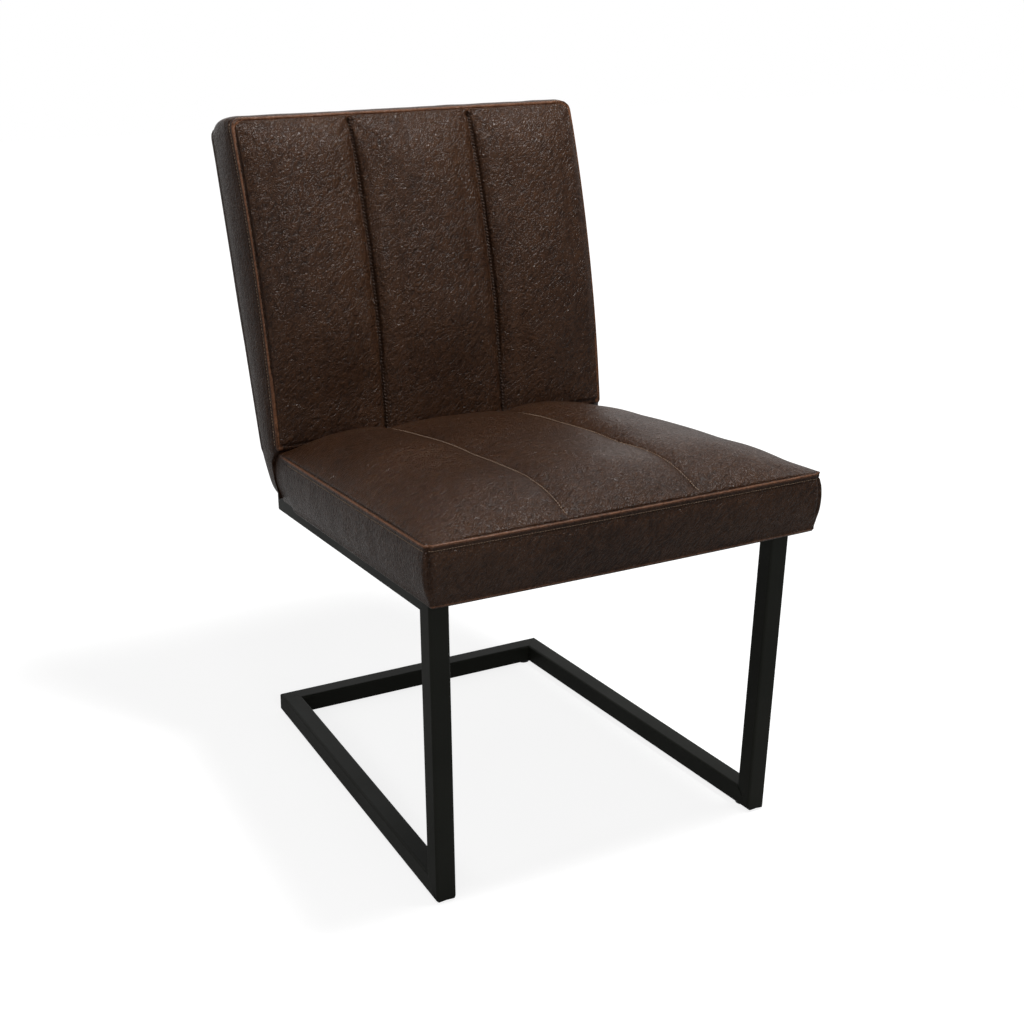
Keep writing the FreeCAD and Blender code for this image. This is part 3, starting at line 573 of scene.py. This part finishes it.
def swell(thing, held):
    """Blows the cushion up with cloth that is held along its seams, then limits how far a point moved."""
    before = points_of(thing)
    group = thing.vertex_groups.new(name="seams")
    group.add([int(i) for i in np.flatnonzero(held)], 1.0, "REPLACE")
    modifier = thing.modifiers.new("cloth", "CLOTH")
    settings = modifier.settings
    settings.vertex_group_mass = "seams"
    settings.use_pressure = True
    settings.uniform_pressure_force = CLOTH_PRESSURE
    settings.effector_weights.gravity = 0
    settings.tension_stiffness = settings.compression_stiffness = CLOTH_STIFFNESS
    settings.bending_stiffness = CLOTH_BENDING
    modifier.collision_settings.use_collision = False
    for number in range(1, CLOTH_FRAMES + 1):
        bpy.context.scene.frame_set(number)
    graph = bpy.context.evaluated_depsgraph_get()
    result = thing.evaluated_get(graph)
    moved = np.empty(len(before) * 3)
    result.data.vertices.foreach_get("co", moved)
    thing.modifiers.clear()
    bpy.context.scene.frame_set(1)
    shift = np.nan_to_num(moved.reshape(-1, 3) - before)
    distance = np.linalg.norm(shift, axis=1, keepdims=True)
    set_points(thing, before + shift * np.minimum(1, CLOTH_LIMIT * MM / np.maximum(distance, 1e-9)))


def paint(thing, lit_lip):
    """Gives the chosen faces the second material, the lighter leather of the lips, which is a painted
    highlight.
    """
    thing.data.materials.append(lip_highlight_leather)
    thing.data.polygons.foreach_set("material_index", lit_lip.astype(np.int32))
    thing.data.update()


def face_centres(thing):
    centres = np.empty(len(thing.data.polygons) * 3)
    thing.data.polygons.foreach_get("center", centres)
    return centres.reshape(-1, 3)


def spread_to_seams(a, mark, half):
    """Slides the grid so that the line at the mark lies on the channel seams all along the cushion."""
    share = CHANNEL_SEAM / half
    size = np.abs(a)
    outside = share + (size - mark) / (1 - mark) * (1 - share)
    return np.where(size <= mark, a * share / mark, np.sign(a) * outside)


def seat_half(length):
    return SEAT_FRONT_HALF_WIDTH - TOE_IN * (length - SEAT_START)


def seat_form(a, b, c):
    length = SEAT_START + b * SEAT_LENGTH
    half = seat_half(length)
    full = seat_fullness(length)
    x = np.abs(a) * half
    ridge = SEAT_CROWN * full * np.clip((half - x) / (half - CHANNEL_SEAM), 0, 1)
    top = SEAT_BOXING + ridge + panel_crown(x, half, SEAT_OUTER_CROWN * full, SEAT_MIDDLE_CROWN * full)
    skirt = SEAT_SKIRT * smoothstep((0.93 - b) / 0.03)
    inside = np.minimum(half - x, b * SEAT_LENGTH)
    base = -skirt + (skirt + UNDER_COVER) * smoothstep((inside - 1.2) / 2.2)
    lift = np.where(c <= 0, base, -skirt + (SEAT_BOXING + skirt) * c)
    lift = np.where(c >= 1, top, lift)
    x, forward = pull_round(x, -length, half, -SEAT_START, SEAT_CORNER * (0.2 + 0.8 * np.clip(c, 0, 1)))
    length = -forward
    wave = np.sin(math.pi * np.clip(c, 0, 1))
    x = x + (6 * wave - 8 * (1 - c)) * smoothstep((np.abs(a) - 0.9) / 0.1)
    length = length + (3 * a ** 2 - 2 * wave + 5.4 * (1 - c) ** 1.3) * smoothstep(1 - b / 0.06)
    local = np.stack([np.sign(a) * x, length, lift], 1)
    points = to_frame(local, SEAT_ORIGIN, SEAT_AXES)
    return end_seat_at_back(points)


def meeting_line(points):
    """For each point: its Y in chair millimetres, its drop below the back's foot, and the shoulder's Y."""
    y = points[:, 1] / MM - LEG_FRONT_Y
    drop = BACK_FOOT[1] - points[:, 2] / MM
    shoulder = BACK_FOOT[0] + drop * (SEAT_REACH - BACK_FOOT[0]) / SEAT_SHOULDER
    return y, drop, shoulder


def end_seat_at_back(points):
    """Ends the seat on the line where it meets the back, seen from the side."""
    y, drop, shoulder = meeting_line(points)
    over_foot = BACK_FOOT[0] - drop * math.tan(BACK_LEAN) - BACK_FRONT_ROOM * smoothstep(-drop / 40)
    limit = np.where(drop < 0, over_foot, np.minimum(shoulder, SEAT_REACH)) - MEETING_GAP
    points[:, 1] = (np.minimum(y, limit) + LEG_FRONT_Y) * MM
    return points


def lines_across(grid_half):
    """The grid lines across a cushion, closer at its sides and channels, and the mark of a channel's seam."""
    mark = CHANNEL_SEAM / grid_half
    edge = [1 - m / grid_half for m in reversed(SEAM_MARKS)]
    marks = [mark - CHANNEL_MARGIN, mark, mark + CHANNEL_MARGIN, *edge, 1]
    return grid_lines(mirrored(marks), STEP_ACROSS), mark


def seat_cushion():
    us, mark = lines_across(SEAT_GRID_HALF)
    vs = grid_lines([0, *[m / SEAT_LENGTH for m in SEAM_MARKS], 0.985, 1], STEP_ALONG)
    wall = SEAT_BOXING + SEAT_SKIRT
    stitch = [1 - m / wall for m in WALL_MARKS]
    ws = grid_lines([0, 1.2 / wall, 2.6 / wall, *stitch, 1], 7 / wall)
    a, b, c, quads = box_shell(us, vs, ws)
    front_end, rear_end = b <= NEARLY_NONE, b >= NEARLY_ONE
    rim_a, rim_b = np.abs(a) >= NEARLY_ONE, front_end | rear_end
    top, base = c >= NEARLY_ONE, c <= NEARLY_NONE
    channel = top & (np.abs(np.abs(a) - mark) < NEARLY_NONE)
    a = spread_to_seams(a, mark, seat_half(SEAT_START + b * SEAT_LENGTH))
    thing = new_object("seat_cushion", seat_form(a, b, c), quads, leather)
    around = rim_a | rim_b
    crease(thing, [top & around, base & around, rear_end & rim_a], 1.0)
    crease(thing, [channel], 0.6)
    swell(thing, channel | (top & around) | base | (c < 0.05) | (b > 0.95))
    subdivide(thing, 2)
    relief_of_seat(thing)
    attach(thing, "root")
    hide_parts("seat_foam", "seat_top_left_panel", "seat_top_middle_panel", "seat_top_right_panel",
                "seat_front_boxing", "seat_left_boxing", "seat_right_boxing", "seat_rear_boxing")
    return thing


def seat_places(points):
    """For points on the seat: how far in from the top's edge, how far down the wall, and along the corner."""
    local = to_local(points, SEAT_ORIGIN, SEAT_AXES)
    x, length, lift = np.abs(local[:, 0]), local[:, 1], local[:, 2]
    half = seat_half(length)
    side, front = half - x, length - SEAT_START
    inset = rounded_inset(side, np.maximum(front - 3 * (x / half) ** 2, 0), SEAT_CORNER)
    down = SEAT_BOXING - lift
    around = (side - front) * 0.5
    return local, inset, down, around


def relief_of_seat(thing):
    """The seat's seams and channels, puckers beside them, and slow unevenness in the leather.

    Each bell is a height, a place and a width in millimetres.
    """
    points = points_of(thing)
    normals = normals_of(thing)
    local, inset, down, around = seat_places(points)
    on_wall = down > 0.2
    at_rear = smoothstep((local[:, 1] - 400) / 20)
    panel, wall = seam_edge(np.where(on_wall, 0, inset), np.where(on_wall, down, 0))
    move = np.where(on_wall, wall, panel) * (1 - at_rear)
    in_corner = on_wall & (local[:, 1] < SEAT_START + 60)
    corner = -2.0 * bell(around, 0, 1.3) + 0.8 * bell(np.abs(around), 3.2, 1.6)
    move += np.where(in_corner, corner * smoothstep((62 - down) / 14), 0)
    foot = down - (SEAT_BOXING + SEAT_SKIRT)
    move += np.where(on_wall, 0.9 * bell(foot, -2.2, 1.5) * (1 - at_rear), 0)
    off_seam = np.abs(local[:, 0]) - CHANNEL_SEAM
    on_top = (~on_wall) * smoothstep((inset - 2) / 12)
    move -= on_top * (1.6 * bell(off_seam, 0, 1.8) + 1.8 * bell(off_seam, 0, 12))
    ripple = np.sin(local[:, 1] * 2 * math.pi / 8.0 + 2 * np.sin(local[:, 1] * 0.05))
    move += on_top * bell(off_seam, 6, 4.5) * ripple * 0.16
    move += on_top * wave_noise(local, 95.0, 3) * 0.55
    middle = on_wall * np.sin(math.pi * np.clip((down - 8) / 58, 0, 1)) * (1 - at_rear)
    move += middle * wave_noise(local * [1, 1, 0.2], 38.0, 4) * 0.38
    set_points(thing, points + normals * (move * MM)[:, None])
    centres = face_centres(thing)
    local, inset, down, _ = seat_places(centres)
    # The lips at the top of the wall and at its foot get the lighter leather: a painted highlight
    lip = (down > LIP_START) & (down < LIP_END) & (local[:, 1] < 425)
    foot_lip = (down > SEAT_BOXING + SEAT_SKIRT - 2.2) & (inset < 4) & (local[:, 1] < 415)
    paint(thing, lip | foot_lip)


def back_bow(rise):
    """How far forward the seam round the front of the back lies."""
    half = BACK_HEIGHT / 2
    radius = (half ** 2 + BACK_BOW ** 2) / (2 * BACK_BOW)
    inside = np.clip(rise, 0, BACK_HEIGHT)
    return np.sqrt(radius ** 2 - (inside - half) ** 2) - (radius - BACK_BOW)


def back_fullness(rise):
    bottom = smoothstep((rise - 17.5) / 140)
    return bottom * eased((BACK_HEIGHT - rise) / 70, 2.2)


def back_half(rise):
    return BACK_HALF_FOOT + BACK_FLARE * rise / BACK_HEIGHT


def back_depth(rise):
    """How far the rear lies behind the straight line of the lean."""
    return BACK_THICKNESS_FOOT + (BACK_THICKNESS_TOP - BACK_THICKNESS_FOOT) * rise / BACK_HEIGHT


def back_form(a, b, c):
    """Maps a box (a across, b up the rise, c from the rear 0 to the front 1) onto the back's form."""
    rise = -BACK_BELOW + b * BACK_TOTAL
    half = back_half(rise)
    full = back_fullness(rise)
    size = np.abs(a) * half
    seam = back_bow(rise)
    rear = -back_depth(rise)
    forward = rear + (seam - rear) * c
    crown = panel_crown(size, half, BACK_CROWN * full, BACK_CROWN * full, 2.5)
    forward = np.where(c >= 1, seam + crown + BACK_PADDING * full, forward)
    behind_seam = seam - forward
    wave = np.sin(math.pi * np.clip(c, 0, 1))
    edge = smoothstep((np.abs(a) - 0.9) / 0.1)
    size, rise = pull_round(size, rise, half, BACK_HEIGHT, BACK_CORNER)
    roll = BACK_EDGE_ROLL * np.clip(1 - np.clip(behind_seam, 0, 99) / 13, 0, 1) ** 2
    size = size + (1.5 + 2.0 * wave - roll) * edge
    rise = rise + (4.0 * wave - 0.6 * roll) * smoothstep((b - 0.97) / 0.03)
    rise, behind = pull_round(rise, -forward, BACK_HEIGHT + 2, -rear, BACK_TOP_CORNER)
    rise = np.where(rise < 0, rise * (1 - BACK_FOOT_SLANT * np.maximum(behind, 0) / BACK_BELOW), rise)
    points = to_frame(np.stack([np.sign(a) * size, rise, -behind], 1), BACK_ORIGIN, BACK_AXES)
    points = start_back_at_seat(points)
    local = to_local(points, SEAT_ORIGIN, SEAT_AXES)
    local[:, 2] = np.maximum(local[:, 2], BACK_OVER_RAIL)
    over_rail = local[:, 2] - BACK_OVER_RAIL
    tuck = BACK_FOOT_TUCK * np.clip(1 - over_rail / SEAT_BOXING, 0, 1) ** 1.3
    local[:, 0] -= np.sign(a) * tuck * edge
    local = to_local(to_frame(local, SEAT_ORIGIN, SEAT_AXES), BACK_ORIGIN, BACK_AXES)
    from_rear = local[:, 2] - rear
    round_up, round_in = pull_round(-over_rail, -from_rear, 0, 0, BACK_REAR_FOOT_CORNER)
    local[:, 1] += -round_up - over_rail
    local[:, 2] += -round_in - from_rear
    return to_frame(local, BACK_ORIGIN, BACK_AXES)


def start_back_at_seat(points):
    """Keeps the foot of the back behind the line where it meets the seat."""
    y, drop, shoulder = meeting_line(points)
    limit = np.where(drop < 0, -1e6, np.minimum(shoulder, SEAT_REACH + BACK_BEHIND_REACH)) + BACK_BEHIND_LINE
    points[:, 1] = (np.maximum(y, limit) + LEG_FRONT_Y) * MM
    return points


def back_cushion():
    us, mark = lines_across(BACK_GRID_HALF)
    near_top = [1 - m / BACK_TOTAL for m in reversed(SEAM_MARKS)]
    vs = grid_lines([0, 0.01, BACK_BELOW / BACK_TOTAL, *near_top, 1], STEP_ALONG)
    stitch = [1 - m / BACK_GRID_DEPTH for m in WALL_MARKS]
    ws = grid_lines([0, 0.03, 0.06, *stitch, 1], 0.1)
    a, b, c, quads = box_shell(us, vs, ws)
    rim_a, rim_top, foot = np.abs(a) >= NEARLY_ONE, b >= NEARLY_ONE, b <= NEARLY_NONE
    front, rear = c >= NEARLY_ONE, c <= NEARLY_NONE
    channel = front & (np.abs(np.abs(a) - mark) < NEARLY_NONE)
    rise = -BACK_BELOW + b * BACK_TOTAL
    a = spread_to_seams(a, mark, back_half(rise))
    thing = new_object("back_cushion", back_form(a, b, c), quads, leather)
    crease(thing, [front & (rim_a | rim_top), rear & rim_a, foot & (front | rear | rim_a)], 1.0)
    crease(thing, [channel], 0.8)
    swell(thing, channel | (front & (rim_a | rim_top)) | (c < 0.2) | (rise < 12))
    subdivide(thing, 2)
    relief_of_back(thing)
    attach(thing, "root")
    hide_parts("back_foam", "back_front_left_panel", "back_front_middle_panel",
                "back_front_right_panel", "back_left_boxing", "back_right_boxing", "back_top_boxing",
                "back_rear_panel")
    return thing


def back_places(points):
    """For points on the back: how far in from the front's edge, and how far behind its seam."""
    local = to_local(points, BACK_ORIGIN, BACK_AXES)
    x, rise = np.abs(local[:, 0]), local[:, 1]
    side = back_half(rise) + 1.5 - BACK_EDGE_ROLL
    inset = rounded_inset(side - x, BACK_HEIGHT - 0.6 * BACK_EDGE_ROLL - rise, BACK_CORNER)
    return local, inset, back_bow(rise) - local[:, 2]


def relief_of_back(thing):
    """The back's seams and channels, the gathers beside them, and the folds that run in from its corners."""
    points = points_of(thing)
    normals = normals_of(thing)
    local, inset, behind = back_places(points)
    x, rise = local[:, 0], local[:, 1]
    shown = smoothstep((rise + 6) / 8)
    on_wall = behind > 0.2
    panel, wall = seam_edge(np.where(on_wall, 0, np.maximum(inset, 0)), np.where(on_wall, behind, 0))
    to_rear = back_depth(rise) + local[:, 2]
    rear_seam = -1.1 * bell(to_rear, 7, 1.2) * (inset < 20)
    wall = wall + np.where(to_rear > 2, rear_seam, 0)
    move = np.where(on_wall, wall, panel) * shown
    off_seam = np.abs(x) - CHANNEL_SEAM
    on_front = (~on_wall) * shown * smoothstep((inset - 1) / 8)
    move -= on_front * (3.2 * bell(off_seam, 0, 2.2) + 4.5 * np.exp(-np.abs(off_seam) / 7))
    to_right = np.minimum(np.abs(x - CHANNEL_SEAM), np.abs(x + CHANNEL_SEAM))
    is_right = (x > CHANNEL_SEAM) | ((x > -CHANNEL_SEAM) & (x < 0))
    gather = np.sin(rise * 2 * math.pi / 5.4 + 1.5 * np.sin(rise * 0.07))
    move += on_front * bell(to_right, 4.0, 2.8) * gather * np.where(is_right, 0.42, 0.16)
    # A soft roll beside each seam, then a faint valley, as the filling is drawn to the seam
    from_side = back_half(rise) - np.abs(x)
    from_left = np.where(np.abs(x) < CHANNEL_SEAM, to_right, np.minimum(to_right, from_side))
    drawn = smoothstep((BACK_HEIGHT - 20 - rise) / 60) * smoothstep((rise - 20) / 60)
    move += on_front * drawn * (0.9 * bell(from_left, 15, 8) - 1.5 * bell(from_left, 31, 9))
    for corner_x in (-back_half(BACK_HEIGHT), -CHANNEL_SEAM, CHANNEL_SEAM):
        for mirror in (1, -1):
            across, under = (x - corner_x * mirror) * mirror, BACK_HEIGHT - 4 - rise
            reach = np.hypot(across, under)
            angle = np.arctan2(under, across)
            own = smoothstep(across / 3) * smoothstep(under / 3) * bell(reach, 24, 20)
            move += on_front * own * np.cos(angle * 9) * 0.6
    move += on_front * wave_noise(local, 110.0, 13) * 0.5
    facing = normals @ BACK_AXES[2]
    middle = on_wall * shown * np.sin(math.pi * np.clip((behind - 8) / 50, 0, 1)) * (facing > REAR_FACING)
    move += middle * wave_noise(local * [1, 1, 0.2], 45.0, 14) * 0.3
    move += (facing < REAR_FACING) * wave_noise(local, 130.0, 15) * 0.5
    set_points(thing, points + normals * (move * MM)[:, None])
    local, inset, behind = back_places(face_centres(thing))
    # The lip along the front's edge gets the lighter leather: a painted highlight
    lip = (behind > LIP_START) & (behind < LIP_END) & (local[:, 1] > -2) & (inset < 5)
    paint(thing, lip)


def laid_on(path, surface, outward):
    """A path dropped onto a surface against the outward direction: pairs of a point and the normal there."""
    laid = []
    outward = Vector(outward).normalized()
    for point in path:
        above = Vector(point) + outward * RAY_ABOVE * MM
        place, normal, _, _ = surface.ray_cast(above, -outward, RAY_LENGTH * MM)
        if place is not None:
            laid.append((place, normal))
    return laid


def surface_of(thing):
    mesh = thing.data
    places = [v.co.copy() for v in mesh.vertices]
    return BVHTree.FromPolygons(places, [list(p.vertices) for p in mesh.polygons])


def stitch_row(name, path, surface, outward, pitch, length, radius, material, slant=0.0):
    """A row of short threads along a path, each one bedded in the surface at both ends."""
    laid = laid_on(path, surface, outward)
    points, faces = [], []
    travelled, due = 0.0, pitch
    for (start, normal), (end, _) in zip(laid, laid[1:]):
        step = (end - start).length / MM
        travelled += step
        if travelled < due or step < 1e-6:
            continue
        due += pitch
        along = (end - start).normalized()
        across = normal.cross(along).normalized()
        along = (along * math.cos(slant) + across * math.sin(slant)).normalized()
        across = normal.cross(along).normalized()
        first = len(points)
        for share, size in THREAD_RINGS:
            rise = (size - THREAD_BEDDED) * radius * THREAD_RISE * MM
            middle = start + along * (share * length * MM) + normal * rise
            for corner in range(THREAD_SIDES):
                angle = 2 * math.pi * corner / THREAD_SIDES
                spoke = across * math.cos(angle) + normal * math.sin(angle)
                points.append(middle + spoke * (radius * size * MM))
        for ring in range(len(THREAD_RINGS) - 1):
            for corner in range(THREAD_SIDES):
                other = (corner + 1) % THREAD_SIDES
                low, high = first + ring * THREAD_SIDES, first + (ring + 1) * THREAD_SIDES
                faces.append((low + corner, low + other, high + other, high + corner))
        faces.append(tuple(range(first + THREAD_SIDES - 1, first - 1, -1)))
        last = first + (len(THREAD_RINGS) - 1) * THREAD_SIDES
        faces.append(tuple(range(last, last + THREAD_SIDES)))
    thing = new_object(name, points, faces, material)
    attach(thing, "root")
    return thing


def line_on(form, a, b, c):
    """Points along a straight line in a cushion's box, on its form. Each of a, b and c is a (start, end)."""
    return form(*[np.linspace(*ends, PATH_POINTS) for ends in (a, b, c)])


seat = seat_cushion()
back = back_cushion()
seat_surface, back_surface = surface_of(seat), surface_of(back)
seat_down = 1 - STITCH_AT / (SEAT_BOXING + SEAT_SKIRT)
back_down = 1 - STITCH_AT / BACK_GRID_DEPTH
back_top_down = 1 - STITCH_AT / BACK_GRID_DEPTH_TOP
back_foot = (BACK_BELOW + 2) / BACK_TOTAL
on_panel = np.ones(PATH_POINTS)
seat_channel = np.linspace(0.012, 0.93, PATH_POINTS)
back_channel = np.linspace(4, BACK_HEIGHT - 5, PATH_POINTS)
for side, name in ((-1, "left"), (1, "right")):
    path = line_on(seat_form, (side, side), (0.90, 0.010), (seat_down, seat_down))
    stitch_row(f"seat_{name}_topstitch", path, seat_surface, (side, 0, 0), 3.4, 3.0, 0.45, thread)
    across = CHANNEL_SEAM * side / seat_half(SEAT_START + seat_channel * SEAT_LENGTH)
    path = seat_form(across, seat_channel, on_panel) + np.array([SEAT_CHANNEL_ASIDE, 0, 0]) * MM
    stitch_row(f"seat_{name}_channel_stitch", path, seat_surface, SEAT_AXES[2], 4.0, 2.9, 0.45, thread)
    across = CHANNEL_SEAM * side / back_half(back_channel)
    path = back_form(across, (back_channel + BACK_BELOW) / BACK_TOTAL, on_panel)
    path += np.array([BACK_CHANNEL_ASIDE, 0, 0]) * MM
    stitch_row(f"back_{name}_channel_stitch", path, back_surface, BACK_AXES[2], 4.4, 4.0, 0.55, gather_thread,
               GATHER_SLANT)
    path = line_on(back_form, (side, side), (back_foot, 0.985), (back_down, back_down))
    stitch_row(f"back_{name}_topstitch", path, back_surface, (side, 0, 0), 4.2, 3.0, 0.5, thread)
path = line_on(seat_form, (-0.985, 0.985), (0, 0), (seat_down, seat_down))
stitch_row("seat_front_topstitch", path, seat_surface, (0, -1, 0), 3.4, 3.0, 0.45, thread)
path = line_on(back_form, (-0.97, 0.97), (1, 1), (back_top_down, back_top_down))
stitch_row("back_top_topstitch", path, back_surface, BACK_AXES[1], 4.2, 3.0, 0.45, thread)


# Floor, backdrop and light
def make_stage():
    corners = [(x * FLOOR_HALF, y * FLOOR_HALF, FLOOR_DEPTH) for x, y in ((-1, -1), (1, -1), (1, 1), (-1, 1))]
    floor = new_object("floor", corners, [(0, 1, 2, 3)], None, smooth=False)
    material, tree, shader = new_material("pale_floor")
    place = place_input(tree)
    noise = add(tree, "ShaderNodeTexNoise", inputs={"Vector": place, "Scale": 5.0, "Detail": 2.0})
    colour = ramp(tree, noise.outputs["Fac"], [(0.3, grey(0.38)), (0.7, grey(0.40))])
    tree.links.new(colour, shader.inputs["Base Color"])
    shader.inputs["Roughness"].default_value = 1.0
    shader.inputs["Specular IOR Level"].default_value = 0.0
    glow = add(tree, "ShaderNodeEmission", inputs={"Color": (1, 1, 1, 1), "Strength": 0.0})
    paths = add(tree, "ShaderNodeLightPath")
    mirrored_floor = maths(tree, "MULTIPLY", paths.outputs["Is Glossy Ray"], MIRRORED_SHARE)
    seen = maths(tree, "MAXIMUM", paths.outputs["Is Camera Ray"], mirrored_floor)
    seen = maths(tree, "MAXIMUM", seen, paths.outputs["Is Transmission Ray"])
    far = add(tree, "ShaderNodeVectorMath", operation="LENGTH", inputs={0: place}).outputs["Value"]
    level = add(tree, "ShaderNodeMapRange", inputs={
        "Value": far, "From Min": FLOOR_GLOW_NEAR, "From Max": FLOOR_GLOW_FAR,
        "To Min": FLOOR_GLOW, "To Max": 1.0,
    }).outputs["Result"]
    tree.links.new(maths(tree, "MULTIPLY", seen, level), glow.inputs["Strength"])
    both = add(tree, "ShaderNodeAddShader", inputs={0: shader.outputs["BSDF"], 1: glow.outputs["Emission"]})
    output = next(n for n in tree.nodes if n.type == "OUTPUT_MATERIAL")
    tree.links.new(both.outputs[0], output.inputs["Surface"])
    floor.data.materials.append(material)


def make_world():
    world = bpy.data.worlds.new("studio")
    world.use_nodes = True
    tree = world.node_tree
    tree.nodes.clear()
    output = tree.nodes.new("ShaderNodeOutputWorld")
    paths = add(tree, "ShaderNodeLightPath")
    # A mirrored direction finds the white backdrop behind the chair, and a dimmer room in front of it
    direction = add(tree, "ShaderNodeTexCoord").outputs["Generated"]
    towards = add(tree, "ShaderNodeSeparateXYZ", inputs={0: direction}).outputs["Y"]
    backdrop = add(tree, "ShaderNodeMapRange", inputs={
        "Value": towards, "From Min": 0.0, "From Max": BACKDROP_FROM,
        "To Min": ROOM_MIRRORED, "To Max": BACKDROP_MIRRORED,
    }).outputs["Result"]
    mirrored_room = maths(tree, "MULTIPLY", paths.outputs["Is Glossy Ray"], backdrop)
    seen = maths(tree, "MAXIMUM", paths.outputs["Is Camera Ray"], mirrored_room)
    seen = maths(tree, "MAXIMUM", seen, paths.outputs["Is Transmission Ray"])
    light = add(tree, "ShaderNodeBackground", inputs={"Color": (1, 1, 1, 1), "Strength": ROOM_LIGHT})
    white = add(tree, "ShaderNodeBackground", inputs={"Color": (1, 1, 1, 1), "Strength": 1.0})
    mix = add(tree, "ShaderNodeMixShader", inputs={0: seen, 1: light.outputs[0], 2: white.outputs[0]})
    tree.links.new(mix.outputs[0], output.inputs["Surface"])
    bpy.context.scene.world = world


def area_light(name, place, target, size, power):
    data = bpy.data.lights.new(name, "AREA")
    data.shape = "RECTANGLE"
    data.size = data.size_y = size
    data.energy = power
    lamp = bpy.data.objects.new(name, data)
    lamp.location = place
    lamp.rotation_euler = (Vector(target) - Vector(place)).to_track_quat("-Z", "Y").to_euler()
    bpy.context.collection.objects.link(lamp)


make_stage()
make_world()
for lamp in LAMPS:
    area_light(*lamp)

bpy.context.scene.view_settings.view_transform = "Standard"
